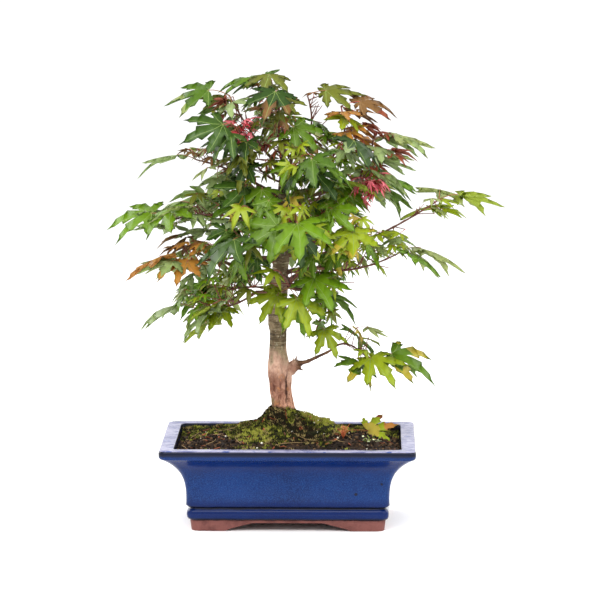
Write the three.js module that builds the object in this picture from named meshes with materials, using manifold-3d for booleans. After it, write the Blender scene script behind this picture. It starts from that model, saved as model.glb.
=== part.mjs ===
// A Japanese maple bonsai in a blue glazed pot, as a group of named solids, one mesh each.
// Units are millimetres and +Z is up. The pot stands on z = 0 with its long side along X and its front to -Y.
// The tree is grown from tables of named sizes: a trunk, boughs that leave it and a spray of foliage for each
// bough. A spray is a stem that forks by a seeded rule and carries opposite pairs of five-lobed leaves.

import * as THREE from 'three';
import { mergeVertices } from 'three/addons/utils/BufferGeometryUtils.js';
import Module from 'manifold-3d';

const wasm = await Module();
wasm.setup();

// ---------------------------------------------------------------- driving dimensions

const clearance = 0.3; // between two pieces that touch
const potHeight = 72;
const potSize = {
  length: 214,
  depth: 155,
  baseHeight: 9.5, // unglazed foot plate with its feet
  plateThickness: 2.5,
  rimWidth: 12.4,
  wall: 6,
  floor: 7,
  cornerRadius: 6,
  cornerSteps: 2,
  waistInset: 21.9, // of the glazed body inside the rim
  footInset: 25,
  footLeg: [29.5, 26], // along the long and the short side
  footWidth: 13,
  archSlope: 23,
  drainRadius: 8,
  drainSpread: 42,
};
const soilSize = { edgeDrop: 6, dome: 13, rings: 6, bottomGap: clearance, sideGap: 0.5 };
const mossSize = { baseRadius: 54, topRadius: 13, rings: 5, sides: 20, unevenness: 0.12 };

// The trunk: height above the moss, lean to the right, lean to the back and radius of each station.
const trunkFoot = 98;
const trunkSides = 12;
const trunkStations = [
  { up: 0, right: -5.4, back: 0, radius: 8.8 },
  { up: 8, right: -6.2, back: 0, radius: 8.3 },
  { up: 18, right: -7.2, back: 0.5, radius: 8.8 },
  { up: 27, right: -8, back: 1, radius: 9.6 },
  { up: 38, right: -9, back: 1, radius: 8.4 },
  { up: 52, right: -9.4, back: 1, radius: 7 },
  { up: 72, right: -9.6, back: 0.5, radius: 7.6 },
  { up: 84, right: -9.4, back: 0, radius: 7 },
  { up: 120, right: -7.2, back: -1, radius: 6.6 },
  { up: 150, right: -5.4, back: -0.5, radius: 6 },
  { up: 180, right: -4.4, back: 0.5, radius: 4.8 },
  { up: 206, right: -4, back: 1, radius: 3.2 },
];
const rootFlare = { count: 5, rise: 12, swell: 0.07 };
// Cut stubs and healed knots, fused to the trunk.
const stubs = [
  { up: 26, bearing: 2, rise: 32, length: 19, radius: [6, 4.2] },
  { up: 79, bearing: 176, rise: 38, length: 11.5, radius: [4.4, 2.6] },
  { up: 71, bearing: 352, rise: 15, length: 10, radius: [4, 2.6] },
];

// Boughs: where each leaves the trunk, and its tip's bearing, distance out from the pot's middle and height.
// Bearings turn anticlockwise from the right-hand end of the pot; heights are above the trunk's foot.
const boughSides = 5;
const boughSteps = 4;
const boughs = [
  { name: 'stub_right', from: 34, bearing: 350, out: 40, up: 52, girth: 1.7, arch: -0.06, stub: 0 },
  { name: 'low_right', from: 100, bearing: 331, out: 24, up: 96, girth: 1.9, arch: 0.1 },
  { name: 'low_left', from: 96, bearing: 191, out: 34, up: 94, girth: 2.3, arch: 0.12 },
  { name: 'left', from: 122, bearing: 194, out: 45, up: 128, girth: 2.6, arch: 0.05 },
  { name: 'mid_left', from: 146, bearing: 176, out: 45, up: 160, girth: 2.4, arch: 0.08 },
  { name: 'high_left', from: 172, bearing: 186, out: 32, up: 192, girth: 2.1, arch: 0.05 },
  { name: 'top_left', from: 194, bearing: 190, out: 23, up: 221, girth: 1.8, arch: 0.04 },
  { name: 'leader', from: 206, bearing: 130, out: 9, up: 235, girth: 1.9, arch: 0.03 },
  { name: 'top_right', from: 200, bearing: 22, out: 14, up: 222, girth: 1.6, arch: 0.04 },
  { name: 'crown_right', from: 190, bearing: 358, out: 32, up: 207, girth: 2, arch: 0.03 },
  { name: 'high_right', from: 168, bearing: 6, out: 43, up: 184, girth: 2.2, arch: 0.05 },
  { name: 'right', from: 130, bearing: 355, out: 48, up: 136, girth: 2.5, arch: -0.08 },
  { name: 'mid_right', from: 112, bearing: 340, out: 38, up: 118, girth: 2.1, arch: 0.06 },
  { name: 'front_high', from: 158, bearing: 274, out: 31, up: 165, girth: 2, arch: 0.08 },
  { name: 'front_left', from: 138, bearing: 240, out: 34, up: 144, girth: 2.1, arch: 0.08 },
  { name: 'front_low', from: 106, bearing: 272, out: 28, up: 110, girth: 2.1, arch: 0.1 },
  { name: 'front_right', from: 134, bearing: 312, out: 35, up: 141, girth: 2, arch: 0.08 },
  { name: 'front_top', from: 184, bearing: 284, out: 22, up: 203, girth: 1.7, arch: 0.05 },
  { name: 'back_left', from: 150, bearing: 130, out: 43, up: 160, girth: 2.3, arch: 0.06 },
  { name: 'back_right', from: 162, bearing: 48, out: 43, up: 172, girth: 2.3, arch: 0.06 },
  { name: 'back', from: 126, bearing: 88, out: 39, up: 133, girth: 2.3, arch: 0.08 },
  { name: 'back_low', from: 102, bearing: 60, out: 34, up: 106, girth: 2.1, arch: 0.1 },
  { name: 'back_low_left', from: 92, bearing: 136, out: 35, up: 98, girth: 2, arch: 0.1 },
  { name: 'back_top', from: 188, bearing: 84, out: 24, up: 212, girth: 1.7, arch: 0.05 },
];

// Sprays of foliage, in the order of the boughs they grow from: where the furthest leaf tip reaches, how wide
// the spray spreads, how many pairs of leaves its stem has, how long its leaves are and how steeply they hang.
const sprays = [
  { name: 'stub_right', bearing: 353, out: 122, up: 13, spread: 52, pairs: 2, leaf: 47, hang: 30 },
  { name: 'low_right', bearing: 318, out: 50, up: 40, spread: 50, pairs: 2, leaf: 30, hang: 55 },
  { name: 'low_left', bearing: 181, out: 126, up: 58, spread: 65, pairs: 3, leaf: 42, hang: 28 },
  { name: 'left', bearing: 190, out: 140, up: 98, spread: 65, pairs: 3, leaf: 43, hang: 32 },
  { name: 'mid_left', bearing: 178, out: 155, up: 137, spread: 63, pairs: 3, leaf: 46, hang: 20 },
  { name: 'high_left', bearing: 180, out: 126, up: 188, spread: 61, pairs: 3, leaf: 40, hang: 24 },
  { name: 'top_left', bearing: 184, out: 108, up: 250, spread: 57, pairs: 3, leaf: 43, hang: 10 },
  { name: 'crown', bearing: 178, out: 66, up: 266, spread: 57, pairs: 3, leaf: 37, hang: 4 },
  { name: 'top_right', bearing: 2, out: 66, up: 250, spread: 52, pairs: 2, leaf: 38, hang: 12 },
  { name: 'crown_right', bearing: 357, out: 96, up: 245, spread: 52, pairs: 2, leaf: 38, hang: 6 },
  { name: 'high_right', bearing: 5, out: 126, up: 206, spread: 59, pairs: 3, leaf: 43, hang: 18 },
  { name: 'right', bearing: 0, out: 185, up: 170, spread: 48, pairs: 2, leaf: 42, hang: 0 },
  { name: 'mid_right', bearing: 358, out: 143, up: 102, spread: 61, pairs: 3, leaf: 46, hang: 32 },
  { name: 'front_high', bearing: 276, out: 114, up: 124, spread: 68, pairs: 3, leaf: 46, hang: 48 },
  { name: 'front_left', bearing: 240, out: 116, up: 112, spread: 61, pairs: 3, leaf: 46, hang: 41 },
  { name: 'front_low', bearing: 272, out: 106, up: 74, spread: 65, pairs: 3, leaf: 46, hang: 40 },
  { name: 'front_right', bearing: 322, out: 116, up: 114, spread: 61, pairs: 3, leaf: 45, hang: 52 },
  { name: 'front_top', bearing: 286, out: 104, up: 186, spread: 61, pairs: 3, leaf: 40, hang: 34 },
  { name: 'back_left', bearing: 134, out: 136, up: 144, spread: 65, pairs: 3, leaf: 43, hang: 28 },
  { name: 'back_right', bearing: 44, out: 138, up: 160, spread: 65, pairs: 3, leaf: 43, hang: 26 },
  { name: 'back', bearing: 90, out: 134, up: 112, spread: 65, pairs: 3, leaf: 43, hang: 34 },
  { name: 'back_low', bearing: 52, out: 112, up: 66, spread: 61, pairs: 3, leaf: 42, hang: 40 },
  { name: 'back_low_left', bearing: 140, out: 116, up: 62, spread: 61, pairs: 3, leaf: 42, hang: 38 },
  { name: 'back_top', bearing: 84, out: 92, up: 214, spread: 63, pairs: 3, leaf: 40, hang: 20 },
  // These fill the heart and the top of the crown and leave the trunk itself.
  { name: 'crown_front', bearing: 258, out: 72, up: 246, spread: 52, pairs: 3, leaf: 37, hang: 24, from: 203 },
  { name: 'shoulder_left', bearing: 218, out: 100, up: 216, spread: 56, pairs: 3, leaf: 40, hang: 26, from: 190 },
  { name: 'shoulder_right', bearing: 322, out: 102, up: 202, spread: 56, pairs: 3, leaf: 40, hang: 28, from: 176 },
  { name: 'heart_left', bearing: 222, out: 74, up: 160, spread: 54, pairs: 2, leaf: 38, hang: 36, from: 152 },
  { name: 'heart_right', bearing: 334, out: 78, up: 166, spread: 54, pairs: 2, leaf: 38, hang: 34, from: 156 },
];

// A leaf: its lobes by angle from the middle one and by length, with the sinus between two lobes.
const leafShape = {
  lobes: [
    { angle: 0, reach: 1, shoulder: 0.17 },
    { angle: 44, reach: 0.9, shoulder: 0.16 },
    { angle: 92, reach: 0.62, shoulder: 0 },
  ],
  shoulderAt: 0.5,
  sinus: 0.3,
  heel: 0.1,
  thickness: 0.028, // of its length, at the joint
  droop: 0.26,
};
const petiole = { length: 0.42, radius: 0.6, rootShare: 0.5 };
const fallenLeaf = { at: [67, 8], bearing: 8, hang: -4, turn: 24, length: 25 };
const twig = { radius: [1.15, 0.8], sideRadius: [0.5, 0.72], bud: 0.9, fork: 56, sideLength: 0.3 };
const growth = {
  shoots: 1, // pairs of side shoots on a spray's stem, below its pairs of leaves
  tries: 9,
  swerve: 7,
  lift: 7,
  facing: 30, // how far leaves beside their shoot turn their faces out of the crown
  leaderFacing: 12,
  overrun: 10, // of a spray's space past its foot and its furthest tip
  flatness: 4, // how many times a way off a leaf's face counts
  lobeClearance: 0.16,
  kinClearance: 0.13,
  stalkClearance: 0.07,
  limbClearance: 1,
};
const crownAxis = new THREE.Vector3(-5, 0, trunkFoot + 130);

const colours = {
  glaze: { color: 0x1d3f86, roughness: 0.22, metalness: 0 },
  terracotta: { color: 0x97513c, roughness: 0.85, metalness: 0 },
  soil: { color: 0x33261b, roughness: 0.95, metalness: 0 },
  moss: { color: 0x4d6420, roughness: 0.95, metalness: 0 },
  bark: { color: 0x86654a, roughness: 0.85, metalness: 0 },
  twigBark: { color: 0x5a3a30, roughness: 0.7, metalness: 0 },
  leafGreen: { color: 0x4f8426, roughness: 0.5, metalness: 0 },
  leafDark: { color: 0x35622c, roughness: 0.5, metalness: 0 },
  leafLime: { color: 0x86a532, roughness: 0.5, metalness: 0 },
  leafBronze: { color: 0x9a6f37, roughness: 0.5, metalness: 0 },
};
const leafTints = {
  leafBronze: ['left', 'crown_right'],
  leafDark: ['top_left', 'high_left', 'mid_left', 'back_top', 'high_right'],
  leafLime: ['low_right', 'front_right', 'low_left'],
};

// ---------------------------------------------------------------- small helpers

const radians = THREE.MathUtils.degToRad;
const { lerp, clamp } = THREE.MathUtils;

// The unit vector on a bearing, raised by so many degrees.
function towards(bearing, rise = 0) {
  const [b, r] = [radians(bearing), radians(rise)];
  return new THREE.Vector3(Math.cos(b) * Math.cos(r), Math.sin(b) * Math.cos(r), Math.sin(r));
}

function bearingOf(v) {
  return THREE.MathUtils.radToDeg(Math.atan2(v.y, v.x));
}

// A repeatable stream of numbers from 0 to 1.
function dice(seed) {
  let state = seed >>> 0;
  return () => {
    state = (Math.imul(state, 1664525) + 1013904223) >>> 0;
    return state / 4294967296;
  };
}

// The closed surface through rings of equally many points, with a fan over the first and the last ring.
function loft(rings) {
  const sides = rings[0].length;
  const points = rings.flat();
  const index = [];
  for (let i = 0; i + 1 < rings.length; i++) {
    for (let j = 0; j < sides; j++) {
      const [a, b] = [i * sides + j, i * sides + ((j + 1) % sides)];
      index.push(a, b, b + sides, a, b + sides, a + sides);
    }
  }
  const last = points.length - sides;
  for (let j = 1; j + 1 < sides; j++) {
    index.push(0, j + 1, j, last, last + j, last + j + 1);
  }
  return new THREE.BufferGeometry().setFromPoints(points).setIndex(index);
}

function solid(geometry) {
  const bare = new THREE.BufferGeometry().setAttribute('position', geometry.getAttribute('position'));
  bare.setIndex(geometry.index);
  const merged = mergeVertices(bare, 1e-4);
  const mesh = new wasm.Mesh({
    numProp: 3,
    vertProperties: merged.getAttribute('position').array,
    triVerts: new Uint32Array(merged.index.array),
  });
  return new wasm.Manifold(mesh);
}

function geometryOf(manifold) {
  const mesh = manifold.getMesh();
  const geometry = new THREE.BufferGeometry();
  geometry.setAttribute('position', new THREE.BufferAttribute(mesh.vertProperties.slice(), 3));
  geometry.setIndex(new THREE.BufferAttribute(mesh.triVerts.slice(), 1));
  geometry.computeVertexNormals();
  return geometry;
}

const fuse = (solids) => solids.reduce((whole, piece) => whole.add(piece));

// The largest connected part of a solid.
function largest(manifold) {
  const parts = manifold.decompose();
  return parts.sort((a, b) => b.volume() - a.volume())[0];
}

// Rings of a tapering limb along a curve, with radius as a function of the share of its length.
function limbRings(curve, steps, sides, radius) {
  const frames = curve.computeFrenetFrames(steps, false);
  return Array.from({ length: steps + 1 }, (_, i) => {
    const centre = curve.getPointAt(i / steps);
    return Array.from({ length: sides }, (_, j) => {
      const turn = (2 * Math.PI * j) / sides;
      const r = radius(i / steps, turn);
      return centre
        .clone()
        .addScaledVector(frames.normals[i], Math.cos(turn) * r)
        .addScaledVector(frames.binormals[i], Math.sin(turn) * r);
    });
  });
}

// ---------------------------------------------------------------- pot, soil and moss

// A level rounded rectangle, as a ring of points.
function rimRing(inset, z, corner = potSize.cornerRadius) {
  const half = [potSize.length / 2 - inset - corner, potSize.depth / 2 - inset - corner];
  const ring = [];
  for (let quarter = 0; quarter < 4; quarter++) {
    const [sx, sy] = [[1, 1], [-1, 1], [-1, -1], [1, -1]][quarter];
    for (let k = 0; k <= potSize.cornerSteps; k++) {
      const turn = (Math.PI / 2) * (quarter + k / potSize.cornerSteps);
      const [x, y] = [sx * half[0] + corner * Math.cos(turn), sy * half[1] + corner * Math.sin(turn)];
      ring.push(new THREE.Vector3(x, y, z));
    }
  }
  return ring;
}

// How far the glazed side stands in from the rim's edge at a height: two bands, a cove and the rim's roll.
const bandBottom = potSize.baseHeight;
const coveFrom = 26;
const coveTo = potHeight - 7.5;
function coveInset(z) {
  const t = clamp((z - coveFrom) / (coveTo - coveFrom), 0, 1);
  return lerp(potSize.waistInset, 1.2, 0.6 * t ** 2.5 + 0.4 * t ** 4.5);
}
const outerProfile = [
  [potSize.footInset, bandBottom],
  [potSize.footInset - 1.5, bandBottom + 1.4],
  [potSize.footInset - 1.9, bandBottom + 5],
  [potSize.footInset - 1.3, bandBottom + 8.4],
  [potSize.footInset - 0.3, bandBottom + 9.7],
  [potSize.footInset - 1.6, bandBottom + 11],
  [potSize.waistInset - 0.2, bandBottom + 13],
  ...Array.from({ length: 7 }, (_, i) => {
    const z = lerp(coveFrom, coveTo, Math.sin((Math.PI / 2) * (i / 6)));
    return [coveInset(z), z];
  }),
  [0.2, potHeight - 6],
  [0, potHeight - 2.6],
  [0.8, potHeight - 0.5],
  [2, potHeight],
];
const cavityInset = (z) => Math.max(potSize.rimWidth, coveInset(z) + potSize.wall);
const cavityLevels = [potHeight - 8, potHeight - 13, 52, 40, 26];

function drain(x, z0, z1) {
  const hole = new THREE.CylinderGeometry(potSize.drainRadius, potSize.drainRadius, z1 - z0, 12);
  hole.rotateX(Math.PI / 2).translate(x, 0, (z0 + z1) / 2);
  return solid(hole);
}
const drains = (z0, z1) => [-1, 1].map((side) => drain(side * potSize.drainSpread, z0, z1));

function potBody() {
  const floorTop = potSize.baseHeight + potSize.floor;
  const rings = outerProfile.map(([inset, z]) => rimRing(inset, z));
  rings.push(rimRing(potSize.rimWidth - 1.2, potHeight));
  rings.push(rimRing(potSize.rimWidth, potHeight - 1.2));
  for (const z of cavityLevels) {
    rings.push(rimRing(cavityInset(z), z));
  }
  rings.push(rimRing(cavityInset(floorTop), floorTop));
  return drains(-1, floorTop + 1).reduce((body, hole) => body.subtract(hole), solid(loft(rings)));
}

// The opening between two feet: flat above, with an ogee down to the ground at each end.
function footArch(gap, through, alongX) {
  const height = potSize.baseHeight - potSize.plateThickness;
  const [foot, crown] = [gap / 2, gap / 2 - potSize.archSlope];
  const outline = new THREE.Shape();
  outline.moveTo(-foot, -1);
  outline.lineTo(foot, -1);
  outline.lineTo(foot, 0);
  outline.bezierCurveTo(foot - 4, height * 0.45, crown + 9, height * 0.5, crown, height);
  outline.lineTo(-crown, height);
  outline.bezierCurveTo(-crown - 9, height * 0.5, 4 - foot, height * 0.45, -foot, 0);
  const arch = new THREE.ExtrudeGeometry(outline, { depth: through, bevelEnabled: false, curveSegments: 4 });
  arch.translate(0, 0, -through / 2).rotateX(Math.PI / 2);
  return solid(alongX ? arch : arch.rotateZ(Math.PI / 2));
}

function potBase() {
  const { footInset, footLeg, footWidth, baseHeight, plateThickness, length, depth } = potSize;
  const [runX, runY] = [length - 2 * footInset, depth - 2 * footInset];
  const whole = solid(loft([rimRing(footInset + 1.2, 0), rimRing(footInset, baseHeight)]));
  const underside = [
    rimRing(footInset + footWidth, -1, 2),
    rimRing(footInset + footWidth, baseHeight - plateThickness, 2),
  ];
  const cutters = [
    solid(loft(underside)),
    footArch(runX - 2 * footLeg[0], depth, true),
    footArch(runY - 2 * footLeg[1], length, false),
    ...drains(-1, baseHeight + 1),
  ];
  return cutters.reduce((base, cutter) => base.subtract(cutter), whole);
}

// The soil's height above the pot's foot: domed, and a little uneven.
function soilLevel(x, y) {
  const [a, b] = [potSize.length / 2 - potSize.rimWidth, potSize.depth / 2 - potSize.rimWidth];
  const dome = Math.max(0, 1 - (x / a) ** 2) * Math.max(0, 1 - (y / b) ** 2);
  const lumps = Math.sin(x * 0.11 + 1) * Math.cos(y * 0.13) + 0.6 * Math.sin(x * 0.23 - y * 0.19);
  return potHeight - soilSize.edgeDrop + soilSize.dome * dome + 0.7 * lumps;
}

function soilSolid() {
  const floorTop = potSize.baseHeight + potSize.floor + soilSize.bottomGap;
  const levels = [floorTop, ...[...cavityLevels].reverse()];
  const rings = levels.map((z) => rimRing(cavityInset(z) + soilSize.sideGap, z));
  const edge = rimRing(potSize.rimWidth + soilSize.sideGap, potHeight);
  for (let k = 0; k < soilSize.rings; k++) {
    const share = 1 - k / (soilSize.rings - 0.4);
    const onSoil = ({ x, y }) => new THREE.Vector3(x * share, y * share, soilLevel(x * share, y * share));
    rings.push(edge.map(onSoil));
  }
  return solid(loft(rings));
}

// The moss heap round the trunk's foot, concave and steepening towards the trunk, with a flat top.
function mossMound(soil) {
  const { baseRadius, topRadius, rings, sides, unevenness } = mossSize;
  const top = trunkFoot - clearance;
  const heap = [];
  for (let k = 0; k <= rings; k++) {
    const share = k / rings;
    const z = k === 0 ? potHeight - 4 : lerp(potHeight + 7, top, share ** 1.5);
    const radius = lerp(baseRadius, topRadius, k === 0 ? 0 : share ** 0.62);
    heap.push(
      Array.from({ length: sides }, (_, j) => {
        const turn = (2 * Math.PI * j) / sides;
        const r = radius * (1 + unevenness * (1 - share) * Math.sin(3 * turn + 0.7) * Math.cos(2 * turn));
        return new THREE.Vector3(trunkStations[0].right + r * Math.cos(turn), r * 0.86 * Math.sin(turn), z);
      }),
    );
  }
  return largest(solid(loft(heap)).subtract(soil.translate([0, 0, clearance])));
}

// ---------------------------------------------------------------- trunk and boughs

const stationPoint = (s) => new THREE.Vector3(s.right, s.back, trunkFoot + s.up);
const trunkCurve = new THREE.CatmullRomCurve3(trunkStations.map(stationPoint));
const trunkHeight = trunkStations.at(-1).up;

// The trunk's middle and radius at a height above its foot.
function trunkAt(up) {
  const above = clamp(trunkStations.findIndex((s) => s.up >= up), 1, trunkStations.length - 1);
  const [a, b] = [trunkStations[above - 1], trunkStations[above]];
  const t = clamp((up - a.up) / (b.up - a.up), 0, 1);
  return { centre: stationPoint(a).lerp(stationPoint(b), t), radius: lerp(a.radius, b.radius, t) };
}

function trunkSolid(extra = 0) {
  const { count, rise, swell } = rootFlare;
  const rings = trunkStations.map(({ up }) => {
    const { centre, radius } = trunkAt(up);
    return Array.from({ length: trunkSides }, (_, j) => {
      const turn = (2 * Math.PI * j) / trunkSides;
      const flare = swell * Math.exp(-up / rise) * (1 + Math.cos(count * turn));
      const r = radius * (1 + flare + 0.04 * Math.sin(2 * turn + up * 0.05)) + extra;
      return new THREE.Vector3(centre.x + r * Math.cos(turn), centre.y + r * Math.sin(turn), centre.z);
    });
  });
  return fuse([solid(loft(rings)), ...stubs.map((stub) => stubSolid(stub, extra))]);
}

function stubEnd(stub) {
  return trunkAt(stub.up).centre.addScaledVector(towards(stub.bearing, stub.rise), stub.length);
}

function stubSolid(stub, extra) {
  const line = new THREE.LineCurve3(trunkAt(stub.up).centre, stubEnd(stub));
  return solid(loft(limbRings(line, 2, 9, (t) => lerp(...stub.radius, t) + extra)));
}

// The point that a bearing, a distance out and a height above the trunk's foot name.
function place({ bearing, out, up }) {
  return towards(bearing).multiplyScalar(out).setZ(trunkFoot + up);
}

// A bough's line: out from the trunk's middle, or from a stub's end, arching on its way to its tip.
function boughCurve(bough, index) {
  const roll = dice(41 + index * 977);
  const tip = place(bough);
  const foot = bough.stub === undefined ? trunkAt(bough.from).centre : stubEnd(stubs[bough.stub]);
  const length = foot.distanceTo(tip);
  const points = [0, 0.25, 0.5, 0.75, 1].map((t) => {
    const bow = 4 * t * (1 - t) * length;
    const [right, back, up] = [0.05, 0.05, 0.04].map((spread) => (roll() * 2 - 1) * spread);
    return foot.clone().lerp(tip, t).addScaledVector(new THREE.Vector3(right, back, up + bough.arch), bow);
  });
  return new THREE.CatmullRomCurve3(points);
}

const boughCurves = boughs.map(boughCurve);
const tipRadius = (bough) => bough.girth * 0.52;

function boughSolid(bough, curve, trunkGrown) {
  const radius = (t) => lerp(bough.girth * 1.15, tipRadius(bough), t ** 0.8);
  const rings = limbRings(curve, boughSteps, boughSides, radius);
  const parts = solid(loft(rings)).subtract(trunkGrown).decompose();
  const tip = curve.getPoint(1);
  const reach = (part) => {
    const { min, max } = part.boundingBox();
    return new THREE.Box3(new THREE.Vector3(...min), new THREE.Vector3(...max)).distanceToPoint(tip);
  };
  return parts.sort((a, b) => reach(a) - reach(b))[0];
}

// ---------------------------------------------------------------- sprays of foliage

// Shortest distance between the segments a-b and c-d.
function gapBetween([a, b], [c, d]) {
  const [u, v, w] = [b.clone().sub(a), d.clone().sub(c), a.clone().sub(c)];
  const [uu, uv, vv, uw, vw] = [u.dot(u), u.dot(v), v.dot(v), u.dot(w), v.dot(w)];
  const spread = uu * vv - uv * uv;
  let s = spread > 1e-9 ? clamp((uv * vw - vv * uw) / spread, 0, 1) : 0;
  const t = clamp((uv * s + vw) / vv, 0, 1);
  s = clamp((uv * t - uw) / uu, 0, 1);
  return w.addScaledVector(u, s).addScaledVector(v, -t).length();
}

// A leaf's outline in its own frame, as shares of its length along and across, from right heel to left.
function leafOutline() {
  const { lobes, shoulderAt, sinus } = leafShape;
  const side = [];
  const polar = (angle, r) => [Math.cos(radians(angle)) * r, Math.sin(radians(angle)) * r];
  lobes.forEach((lobe, i) => {
    const [c, s] = polar(lobe.angle, 1);
    const shoulder = (turn) => [
      c * shoulderAt * lobe.reach - turn * s * lobe.shoulder,
      s * shoulderAt * lobe.reach + turn * c * lobe.shoulder,
    ];
    if (i > 0 && lobe.shoulder > 0) side.push(shoulder(-1));
    side.push(polar(lobe.angle, lobe.reach));
    if (lobe.shoulder > 0) side.push(shoulder(1));
    if (i + 1 < lobes.length) side.push(polar((lobe.angle + lobes[i + 1].angle) / 2, sinus));
  });
  const mirrored = side.slice(1).map(([x, y]) => [x, -y]);
  return [...mirrored.reverse(), ...side];
}
const outline = leafOutline();

// A leaf as its joint, its own axes and the lines down its lobes.
function makeLeaf(joint, bearing, hang, turn, length, droop) {
  const aim = towards(bearing, -hang);
  const up = towards(bearing, 90 - hang).applyAxisAngle(aim, radians(turn));
  const side = up.clone().cross(aim);
  const at = ([x, y]) => {
    const sag = droop * (x * x + y * y);
    return joint
      .clone()
      .addScaledVector(aim, x * length)
      .addScaledVector(side, y * length)
      .addScaledVector(up, -sag * length);
  };
  const lobes = leafShape.lobes.flatMap(({ angle, reach }) =>
    (angle ? [angle, -angle] : [0]).map((a) => [
      joint,
      at([Math.cos(radians(a)) * reach, Math.sin(radians(a)) * reach]),
    ]),
  );
  return { joint, aim, up, length, at, lobes };
}

// A leaf with its stalk: a thin star, thickest at its joint and sharp at its edge, whose heel runs out in a
// three-sided stalk that ends in the shoot's bud.
function leafSolid({ node, joint, aim, up, length, at }) {
  const half = (leafShape.thickness * length) / 2;
  const side = up.clone().cross(aim);
  const around = (centre, [x, z]) => centre.clone().addScaledVector(side, x).addScaledVector(up, z);
  const scaled = (corner, size) => corner.map((share) => share * size);
  const corners = [[1, -0.5], [0, 1], [-1, -0.5]].map((corner) => scaled(corner, petiole.radius));
  const root = corners.map((corner) => scaled(corner, petiole.rootShare));
  const heel = at([-leafShape.heel, 0]);
  const ring = [...outline.map(at), ...corners.map((corner) => around(heel, corner))];
  const [top, bottom, heelAt, stalkAt] = [0, 1, outline.length + 2, ring.length + 2];
  const points = [around(joint, [0, half]), around(joint, [0, -half]), ...ring];
  points.push(...root.map((corner) => around(node, corner)));
  const index = [top, heelAt + 2, 2, bottom, 2, heelAt + 2];
  for (let i = 2; i < heelAt + 2; i++) {
    index.push(top, i, i + 1);
    if (i < heelAt) index.push(bottom, i + 1, i);
  }
  index.push(bottom, heelAt + 2, heelAt);
  for (const [a, b] of [[0, 1], [1, 2], [2, 0]]) {
    index.push(heelAt + a, stalkAt + a, heelAt + b, heelAt + b, stalkAt + a, stalkAt + b);
  }
  index.push(stalkAt, stalkAt + 2, stalkAt + 1);
  return solid(new THREE.BufferGeometry().setFromPoints(points).setIndex(index));
}

// A three-sided twig that ends in a bud, a little past its curve's end.
function twigSolid(curve, steps, radii) {
  const rings = limbRings(curve, steps, 3, (t) => lerp(...radii, t));
  rings.at(-1).forEach((p) => p.addScaledVector(curve.getTangent(1), twig.bud));
  return solid(loft(rings));
}

// Where a spray starts and which way: off its bough's tip, or off the trunk's side.
function sprayFoot(row, index) {
  if (row.from === undefined) {
    const curve = boughCurves[index];
    const start = curve.getTangent(1);
    return { start, foot: curve.getPoint(1).addScaledVector(start, clearance) };
  }
  const { centre, radius } = trunkAt(row.from);
  const start = towards(bearingOf(place(row).sub(centre)), 12);
  return { start, foot: centre.addScaledVector(start, radius - 2) };
}

// What a new leaf has to stay clear of: other leaves, limbs as lines with a radius, and finished solids.
const takenLeaves = [];
const limbLines = [];
const takenSolids = [];

function addLimb(owner, points, radius) {
  points.slice(1).forEach((end, i) => limbLines.push({ owner, ends: [points[i], end], radius }));
}

// A spray's space: an ellipsoid about the line from its foot to its furthest tip.
function spaceOf(foot, tip, spread) {
  const centre = foot.clone().lerp(tip, 0.5);
  const axis = tip.clone().sub(foot);
  const half = axis.length() / 2 + growth.overrun;
  axis.normalize();
  return (p) => {
    const offset = p.clone().sub(centre);
    const along = offset.dot(axis);
    const across = offset.addScaledVector(axis, -along).length();
    return (along / half) ** 2 + (across / spread) ** 2 <= 1;
  };
}

// The gap between two lines as a blade feels it: a way off its face counts several times.
function gapAcross(face, line, other) {
  const stretch = (p) => p.clone().addScaledVector(face, p.dot(face) * (growth.flatness - 1));
  return gapBetween(line.map(stretch), other.map(stretch));
}

// Whether a leaf keeps to its spray's space, clear of every limb and clear of every other leaf.
function fits(leaf, spray, space) {
  if (!leaf.lobes.every(([, tip]) => space(tip))) return false;
  const { kinClearance, lobeClearance, limbClearance, stalkClearance } = growth;
  const strikes = ({ owner, ends, radius }) => {
    const room = (owner === spray ? kinClearance / 2 : lobeClearance) * leaf.length;
    return leaf.lobes.some(
      (lobe) =>
        gapBetween(lobe, ends) < radius + limbClearance || gapAcross(leaf.up, lobe, ends) < radius + room,
    );
  };
  if (limbLines.some(strikes)) return false;
  const stalk = [leaf.node, leaf.joint];
  return !takenLeaves.some((other) => {
    if (other.joint.distanceTo(leaf.joint) > 2.4 * leaf.length) return false;
    const room = (other.owner === spray ? kinClearance : lobeClearance) * leaf.length;
    const stalkRoom = stalkClearance * leaf.length;
    return other.lobes.some((line) =>
      gapAcross(other.up, stalk, line) < stalkRoom ||
      leaf.lobes.some((lobe) => [leaf.up, other.up].some((face) => gapAcross(face, lobe, line) < room)),
    ) || leaf.lobes.some((lobe) => gapAcross(leaf.up, lobe, [other.node, other.joint]) < stalkRoom);
  });
}

// Whether a finished solid keeps its clearance from everything that belongs to another owner.
function standsClear(body, owner) {
  const clearOf = (other) => body.minGap(other.body, clearance) >= clearance;
  return takenSolids.every((other) => other.owner === owner || clearOf(other));
}

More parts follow.
